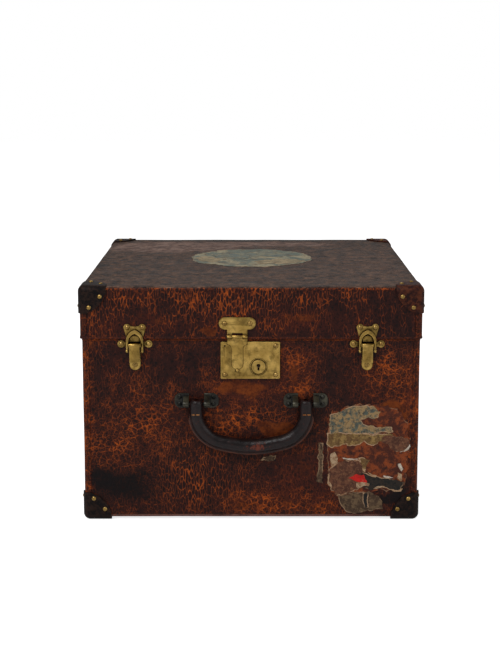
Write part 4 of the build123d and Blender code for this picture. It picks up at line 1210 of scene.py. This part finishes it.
def makeHandle():
    x, top, bend = handle["legX"], handle["top"], handle["cornerZ"]
    corner = handle["cornerRadius"]
    route = filletedPath([(-x, top), (-x, bend), (0, handle["lowZ"]), (x, bend), (x, top)],
                         [corner, handle["lowRadius"], corner], handle["step"])
    around, radius = handle["around"], handle["radius"]
    verts, rub, edge, seamPoints = [], [], [], []
    for i, point in enumerate(route):
        ahead = route[min(i + 1, len(route) - 1)] - route[max(i - 1, 0)]
        ahead.normalize()
        outward = Vector((-ahead.y, ahead.x))      # in the plane of the bow, away from its middle
        if outward.dot(Vector((0, -1)) + Vector((1 if point.x > 0 else -1, 0)) * 0.6) < 0:
            outward = -outward
        along = i / (len(route) - 1)
        fromEnd = min(i, len(route) - 1 - i) * handle["step"]
        # the flange dies out near the brackets, the ends are rounded about the pin
        grown = (fromEnd - handle["flangeStart"]) / handle["flangeGrows"]
        flange = handle["flangeWidth"] * max(0.0, min(1.0, grown))
        over = max(0.0, (point.y - pinZ))
        narrow = math.sqrt(max(0.02, 1 - (over / (radius * 0.99)) ** 2)) if over > 0 else 1.0
        swell = 1.0 - 0.07 * math.exp(-(fromEnd / handle["narrowEnd"]) ** 2)
        creased = handle["crease"] * (0.4 + 0.6 * min(1, fromEnd / handle["creasesGrow"]))
        for j in range(around):
            angle = 2 * math.pi * j / around     # 0 points outwards, a quarter turn points forwards
            fold = noise.noise(Vector((along * 120, math.cos(angle) * 0.8, math.sin(angle) * 0.8)))
            lump = handle["lump"] * noise.noise(Vector((along * 14, math.cos(angle), math.sin(angle))))
            inner = 0.5 - 0.5 * math.cos(angle)  # creases are deeper inside the bow
            crease = creased * fold * (0.35 + 0.9 * inner)
            reach = radius * swell + crease + lump - handle["sunk"]
            across, forward = math.cos(angle) * reach, math.sin(angle) * reach
            near = math.cos(angle)
            if near > handle["flangeFrom"] and flange > 0:
                # pulls the outermost lines of the tube out into the flange
                share = (near - handle["flangeFrom"]) / (1 - handle["flangeFrom"])
                across = across + flange * min(1.0, share * 1.6)
                if share > 0.1:
                    forward = math.copysign(min(abs(forward), handle["flangeHalf"]), math.sin(angle))
            across *= narrow
            verts.append(Vector((point.x + outward.x * across,
                                 handleY - forward * (0.94 if over <= 0 else narrow),
                                 point.y + outward.y * across)))
            fromRub = (point.x - handle["rubX"]) / handle["rubReach"]
            scuffed = 0.5 * math.exp(-fromRub ** 2) * max(0.0, math.sin(angle)) ** 3
            patchy = 0.5 + 0.5 * noise.noise(Vector((along * 22, 3, 1)))
            scuffed += 0.22 * max(0.0, math.sin(angle)) * patchy
            rub.append(scuffed)
            edge.append(max(0.0, (near - 0.95) / 0.05) if flange > 1 * mm else 0.0)
        if flange > 2 * mm:
            seamPoints.append((point, outward, flange))
    rings = len(route)
    faces = []
    for i in range(rings - 1):
        for j in range(around):
            a, b = i * around + j, i * around + (j + 1) % around
            faces.append((a, b, b + around, a + around))
    faces.append(tuple(range(around - 1, -1, -1)))
    faces.append(tuple((rings - 1) * around + j for j in range(around)))
    mesh = meshOf("handleBow", verts, faces, turned=True)
    keepValues(mesh, "rub", rub)
    keepValues(mesh, "edge", edge)
    finishPiece("handleBow", mesh, finishes["handle"], "handle", ["handle_grip"],
                sharp=70)
    return seamPoints


handleSeam = makeHandle()
print("handle bent")


# stitches, laid along paths by one geometry tree
def makeStitchTree():
    tree, given, out = newGroup(
        "stitchRow",
        [("Path", "Geometry", None), ("Pitch", "Float", None), ("Length", "Float", None),
         ("Thickness", "Float", None), ("Seed", "Int", None), ("Thread", "Material", None)],
        [("Stitches", "Geometry")], "Geometry")
    curve = put(tree, "GeometryNodeMeshToCurve", None, {"Mesh": given["Path"]})
    spaced = put(tree, "GeometryNodeResampleCurve", {"mode": "LENGTH"},
                 {"Curve": curve.outputs[0], "Length": given["Pitch"]})
    bead = put(tree, "GeometryNodeMeshUVSphere", None, {"Segments": 6, "Rings": 4, "Radius": 0.5})
    tangent = put(tree, "GeometryNodeInputTangent")
    along = put(tree, "FunctionNodeAlignRotationToVector", {"axis": "X"},
                {"Vector": tangent.outputs[0]})
    normal = put(tree, "GeometryNodeInputNamedAttribute", {"data_type": "FLOAT_VECTOR"},
                 {"Name": "outward"})
    upright = put(tree, "FunctionNodeAlignRotationToVector", {"axis": "Z", "pivot_axis": "X"},
                  {"Rotation": along.outputs[0], "Vector": normal.outputs[0]})
    vary = put(tree, "FunctionNodeRandomValue", {"data_type": "FLOAT"},
               {2: 0.86, 3: 1.12, "Seed": given["Seed"]})
    size = put(tree, "ShaderNodeCombineXYZ", None,
               {"X": given["Length"], "Y": given["Thickness"],
                "Z": times(tree, given["Thickness"], 0.75)})
    scaled = put(tree, "ShaderNodeVectorMath", {"operation": "SCALE"},
                 {0: size.outputs[0], "Scale": vary.outputs[1]})
    placed = put(tree, "GeometryNodeInstanceOnPoints", None,
                 {"Points": spaced.outputs[0], "Instance": bead.outputs[0],
                  "Rotation": upright.outputs[0], "Scale": scaled.outputs[0]})
    solid = put(tree, "GeometryNodeRealizeInstances", None, {0: placed.outputs[0]})
    smooth = put(tree, "GeometryNodeSetShadeSmooth", None, {0: solid.outputs[0]})
    finished = put(tree, "GeometryNodeSetMaterial", None,
                   {"Geometry": smooth.outputs[0], "Material": given["Thread"]})
    tree.links.new(finished.outputs[0], out[0])
    return tree


stitchTree = makeStitchTree()
sewing = {  # the looks of the rows, then where they run
    "seam": {"Pitch": 4.6 * mm, "Length": 3.1 * mm, "Thickness": 0.85 * mm, "Seed": 5},
    "flange": {"Pitch": 3.4 * mm, "Length": 2.3 * mm, "Thickness": 0.62 * mm, "Seed": 9},
    "tie": {"Pitch": 5.0 * mm, "Length": 5.2 * mm, "Thickness": 1.7 * mm, "Seed": 2},
    "inset": 3.0 * mm, "lift": 0.30 * mm, "step": 4 * mm,
    "bodyFrom": 36 * mm, "bodyTo": 220 * mm, "lidFrom": 226 * mm, "lidTo": 252 * mm,
    "tieX": 65.4 * mm, "tieHalf": 2.6 * mm, "tieZ": 135 * mm,
}


def sew(name, runs, look, thread, body):
    # runs: lists of (place, outward) pairs
    verts, edges, normals = [], [], []
    for run in runs:
        base = len(verts)
        verts += [place for place, _ in run]
        normals += [value for _, normal in run for value in normal]
        edges += [(base + i, base + i + 1) for i in range(len(run) - 1)]
    mesh = bpy.data.meshes.new(name + "Path")
    mesh.from_pydata(verts, edges, [])
    outward = mesh.attributes.new("outward", "FLOAT_VECTOR", "POINT")
    outward.data.foreach_set("vector", np.array(normals, np.float32))
    carrier = bpy.data.objects.new(name + "Path", mesh)
    scene.collection.objects.link(carrier)
    rows = carrier.modifiers.new("stitches", "NODES")
    rows.node_group = stitchTree
    settings = {**look, "Thread": thread}
    for item in stitchTree.interface.items_tree:
        if item.in_out == "INPUT" and item.name in settings:
            rows[item.identifier] = settings[item.name]
    bpy.context.view_layer.update()
    made = bpy.data.meshes.new_from_object(carrier.evaluated_get(bpy.context.evaluated_depsgraph_get()))
    made.name = name
    carrier.modifiers.remove(rows)
    bpy.data.objects.remove(carrier)
    finishPiece(name, made, thread, body, sharp=0)


def wallRun(shell, along, low, high, lift):
    run = []
    steps = max(2, round((high - low) / sewing["step"]))
    for i in range(steps + 1):
        point, normal = wallPoint(shell, along, low + (high - low) * i / steps)
        run.append((point + normal * (ripple(*point) + lift), normal))
    return run


def seamRuns(shell, low, high):
    total, inset = ringLength(shell), sewing["inset"]
    alongs = [shell["seam"] + inset, -shell["seam"] - inset,
              total / 2 - shell["seam"] - inset, total / 2 + shell["seam"] + inset]
    return [wallRun(shell, along, low, high, sewing["lift"]) for along in alongs]


for body, shell in (("body", bodyShell), ("lid", lidShell)):
    sew(body + "SeamStitches", seamRuns(shell, sewing[body + "From"], sewing[body + "To"]),
        sewing["seam"], finishes["thread"], body)

flangeRuns = []
for sideY in (-1, 1):
    run = []
    for point, outward, flange in handleSeam:
        reach = handle["radius"] + 0.2 * mm
        place = Vector((point.x + outward.x * reach, handleY + sideY * handle["flangeHalf"],
                        point.y + outward.y * reach))
        run.append((place, Vector((0, sideY, 0))))
    flangeRuns.append(run)
sew("handleStitches", flangeRuns, sewing["flange"], finishes["thread"], "handle")
tieY = handleY - handle["radius"] * 0.95
ties = [[(Vector((leg * sewing["tieX"] + end * sewing["tieHalf"], tieY, sewing["tieZ"])),
          Vector((0, -1, 0))) for end in (-1, 1)] for leg in (-1, 1)]
sew("handleTies", ties, sewing["tie"], finishes["tanThread"], "handle")
print("seams sewn")

# thin leather bindings folded over the two rims, and the cloth-covered lip inside
binding = {
    "thickness": 0.14 * mm, "drop": 2.3 * mm, "proud": 0.32 * mm, "width": 7.3 * mm,
    "inside": 1.2 * mm, "wobble": 0.05 * mm, "lines": 560,
}


def makeRing(name, shell, profile, level, finish, body, replaced=(), levels=None, sharp=40):
    # profile: closed outline as (inset from the wall, height above the level)
    total, count, size = ringLength(shell), binding["lines"], len(profile)
    verts, faces = [], []
    for i in range(count):
        x, y, nx, ny = ringPoint(shell, total * i / count)
        wobble = binding["wobble"] * noise.noise(Vector((x * 60, y * 60, 2.0)))
        for inset, height in profile:
            verts.append(Vector((x - nx * (inset + wobble), y - ny * (inset + wobble), level + height)))
    for i in range(count):
        for j in range(size):
            after = (i + 1) % count
            faces.append((i * size + j, i * size + (j + 1) % size,
                          after * size + (j + 1) % size, after * size + j))
    mesh = meshOf(name, verts, faces, turned=True)
    for label, value in (levels or {}).items():
        keepValues(mesh, label, np.full(len(mesh.vertices), value))
    finishPiece(name, mesh, finish, body, replaced, sharp=sharp)


def bindingProfile(facing):
    rise, proud, drop = binding["thickness"], binding["proud"], binding["drop"]
    inner, inside = binding["width"], binding["inside"]
    outline = [
        (-proud * 0.2, -drop), (-proud, -drop + 0.3 * mm), (-proud, -0.3 * mm),
            (-proud * 0.6, rise * 0.7),
        (0.5 * mm, rise), (inner - 0.4 * mm, rise), (inner, rise * 0.5), (inner, -inside),
        (inner - 0.5 * mm, -inside), (inner - 0.5 * mm, -0.3 * mm), (0.4 * mm, -0.3 * mm),
            (0.4 * mm, -drop),
    ]
    return [(inset, facing * height) for inset, height in outline]


makeRing("bodyRimBinding", bodyShell, bindingProfile(1), bodyShell["ceiling"], finishes["case"],
         "body", levels={"wear": 0.5, "red": 0.9, "streak": 0.2, "bare": 0.34})
makeRing("lidRimBinding", lidShell, bindingProfile(-1), lidShell["floor"], finishes["case"],
         "lid", levels={"wear": 0.3, "red": 0.7, "streak": 0.2, "bare": 0.1})

lipLow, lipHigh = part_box("rim_lip")
lipInset = bodyShell["half"][0] - lipHigh.x
lipThick = 2.5 * mm
lipRise = lipHigh.z - lipLow.z
lipProfile = [(lipInset, 0), (lipInset, lipRise - 1.0 * mm), (lipInset + 0.3 * mm, lipRise - 0.3 * mm),
              (lipInset + 1.25 * mm, lipRise), (lipInset + 2.2 * mm, lipRise - 0.3 * mm),
              (lipInset + lipThick, lipRise - 1.0 * mm), (lipInset + lipThick, 0.6 * mm),
              (lipInset + lipThick - 0.5 * mm, 0)]
makeRing("rimLipCloth", bodyShell, lipProfile, lipLow.z, finishes["lining"], "body",
         ["rim_lip"], sharp=0)
print("rims bound")

# pasted linings, one panel to a side, a little uneven as glued cloth is
liningLook = {
    "cell": 7 * mm, "thickness": 0.9 * mm, "wave": 0.35 * mm, "settles": 10 * mm,
    "wall": 1.0 * mm, "belowRim": 0.3 * mm,
}


def liningPanel(corner, across, up, wide, high, normal):
    columns, rows = max(2, round(wide / liningLook["cell"])), max(2, round(high / liningLook["cell"]))
    outer, inner = [], []
    for r in range(rows + 1):
        outerRow, innerRow = [], []
        for c in range(columns + 1):
            u, v = c / columns, r / rows
            point = corner + across * (wide * u) + up * (high * v)
            edge = min(u * wide, (1 - u) * wide, v * high, (1 - v) * high)
            bulge = noise.noise(point * 22.0) * 0.6 + noise.noise(point * 60.0) * 0.3
            bulge *= liningLook["wave"]
            outerRow.append(point + normal * bulge * min(1.0, edge / liningLook["settles"]))
            innerRow.append(point - normal * liningLook["thickness"])
        outer.append(outerRow)
        inner.append(innerRow)
    return closedSheet(outer, inner, rows + 1, columns + 1)


def makeLining(name, node, floorFacing, body):
    low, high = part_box(node)
    wall = liningLook["wall"]
    floorZ = low.z + wall if floorFacing > 0 else high.z - wall
    rimZ = (high.z if floorFacing > 0 else low.z) - floorFacing * liningLook["belowRim"]
    bottom, tall = min(floorZ, rimZ), abs(rimZ - floorZ)
    left, right = low.x + wall, high.x - wall
    front, back = low.y + wall, high.y - wall
    ways = {"x": Vector((1, 0, 0)), "y": Vector((0, 1, 0)), "z": Vector((0, 0, 1))}
    panels = [
        (Vector((left, front, bottom)), ways["x"], ways["z"], right - left, tall, ways["y"]),
        (Vector((left, back, bottom)), ways["x"], ways["z"], right - left, tall, -ways["y"]),
        (Vector((left, front, bottom)), ways["y"], ways["z"], back - front, tall, ways["x"]),
        (Vector((right, front, bottom)), ways["y"], ways["z"], back - front, tall, -ways["x"]),
        (Vector((left, front, floorZ)), ways["x"], ways["y"], right - left, back - front,
         ways["z"] * floorFacing),
    ]
    verts, faces = gathered(liningPanel(*panel) for panel in panels)
    mesh = meshOf(name, verts, faces, turned=True)
    finishPiece(name, mesh, finishes["lining"], body, [node], sharp=50)


makeLining("bodyLiningCloth", "body_lining", 1, "body")
makeLining("lidLiningCloth", "lid_lining", -1, "lid")
print("linings pasted")

# fittings keep their shapes from the frame, with eased edges and their own finishes
fittings = {  # part: finish, easing of its edges in millimetres
    "lock_plate": ("brass", 0.5), "hasp_strap": ("haspBrass", 0.4), "hasp": ("haspBrass", 0.5),
    "hasp_pin": ("rivet", 0.15), "key_plug": ("brass", 0.2), "lock_bolt": ("steel", 0.1),
    "lock_case": ("steel", 0.1), "catch_pivot_pins": ("rivet", 0.1),
    "body_rivets": ("rivet", 0.15), "lid_rivets": ("rivet", 0.15),
    "handle_bracket_rivets": ("darkRivet", 0.15), "handle_pins": ("darkRivet", 0.15),
    "handle_core": ("steel", 0.1), "hinge_body_leaves": ("brass", 0.25),
    "hinge_lid_leaves": ("brass", 0.25), "hinge_pins": ("steel", 0.1),
}
paired = {  # the same on the left and on the right
    "catch_base": ("catchBrass", 0.2), "catch_keeper": ("catchBrass", 0.2),
    "catch_lever": ("brass", 0.25), "catch_link": ("brass", 0.2), "link_pin": ("rivet", 0.1),
    "handle_brackets": ("japanned", 0.3), "base_cap_front": ("cap", 0.5), "base_cap_back": ("cap", 0.5),
    "lid_cap_front": ("cap", 0.5), "lid_cap_back": ("cap", 0.5),
}
for part, look in paired.items():
    fittings[part + "_left"] = fittings[part + "_right"] = look
fittings["lid_cap_front_right"] = fittings["lid_cap_back_right"] = ("redCap", 0.5)
easing = {"weld": 0.002 * mm, "flat": 0.6, "corner": 32, "steps": 2}  # angles in degrees


def easeEdges(part, finish, width):
    part.data.materials.clear()
    part.data.materials.append(finish)
    for polygon in part.data.polygons:
        polygon.use_smooth = True
    weld = part.modifiers.new("weld", "WELD")
    weld.merge_threshold = easing["weld"]
    flat = part.modifiers.new("flat", "DECIMATE")
    flat.decimate_type = "DISSOLVE"
    flat.angle_limit = math.radians(easing["flat"])
    ease = part.modifiers.new("ease", "BEVEL")
    ease.width = width * mm
    ease.segments = easing["steps"]
    ease.limit_method = "ANGLE"
    ease.angle_limit = math.radians(easing["corner"])
    ease.harden_normals = True


for part, (finish, width) in fittings.items():
    easeEdges(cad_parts[part], finishes[finish], width)
for part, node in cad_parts.items():
    if part.endswith("_board"):
        node.data.materials.clear()
        node.data.materials.append(finishes["board"])
print("fittings finished")
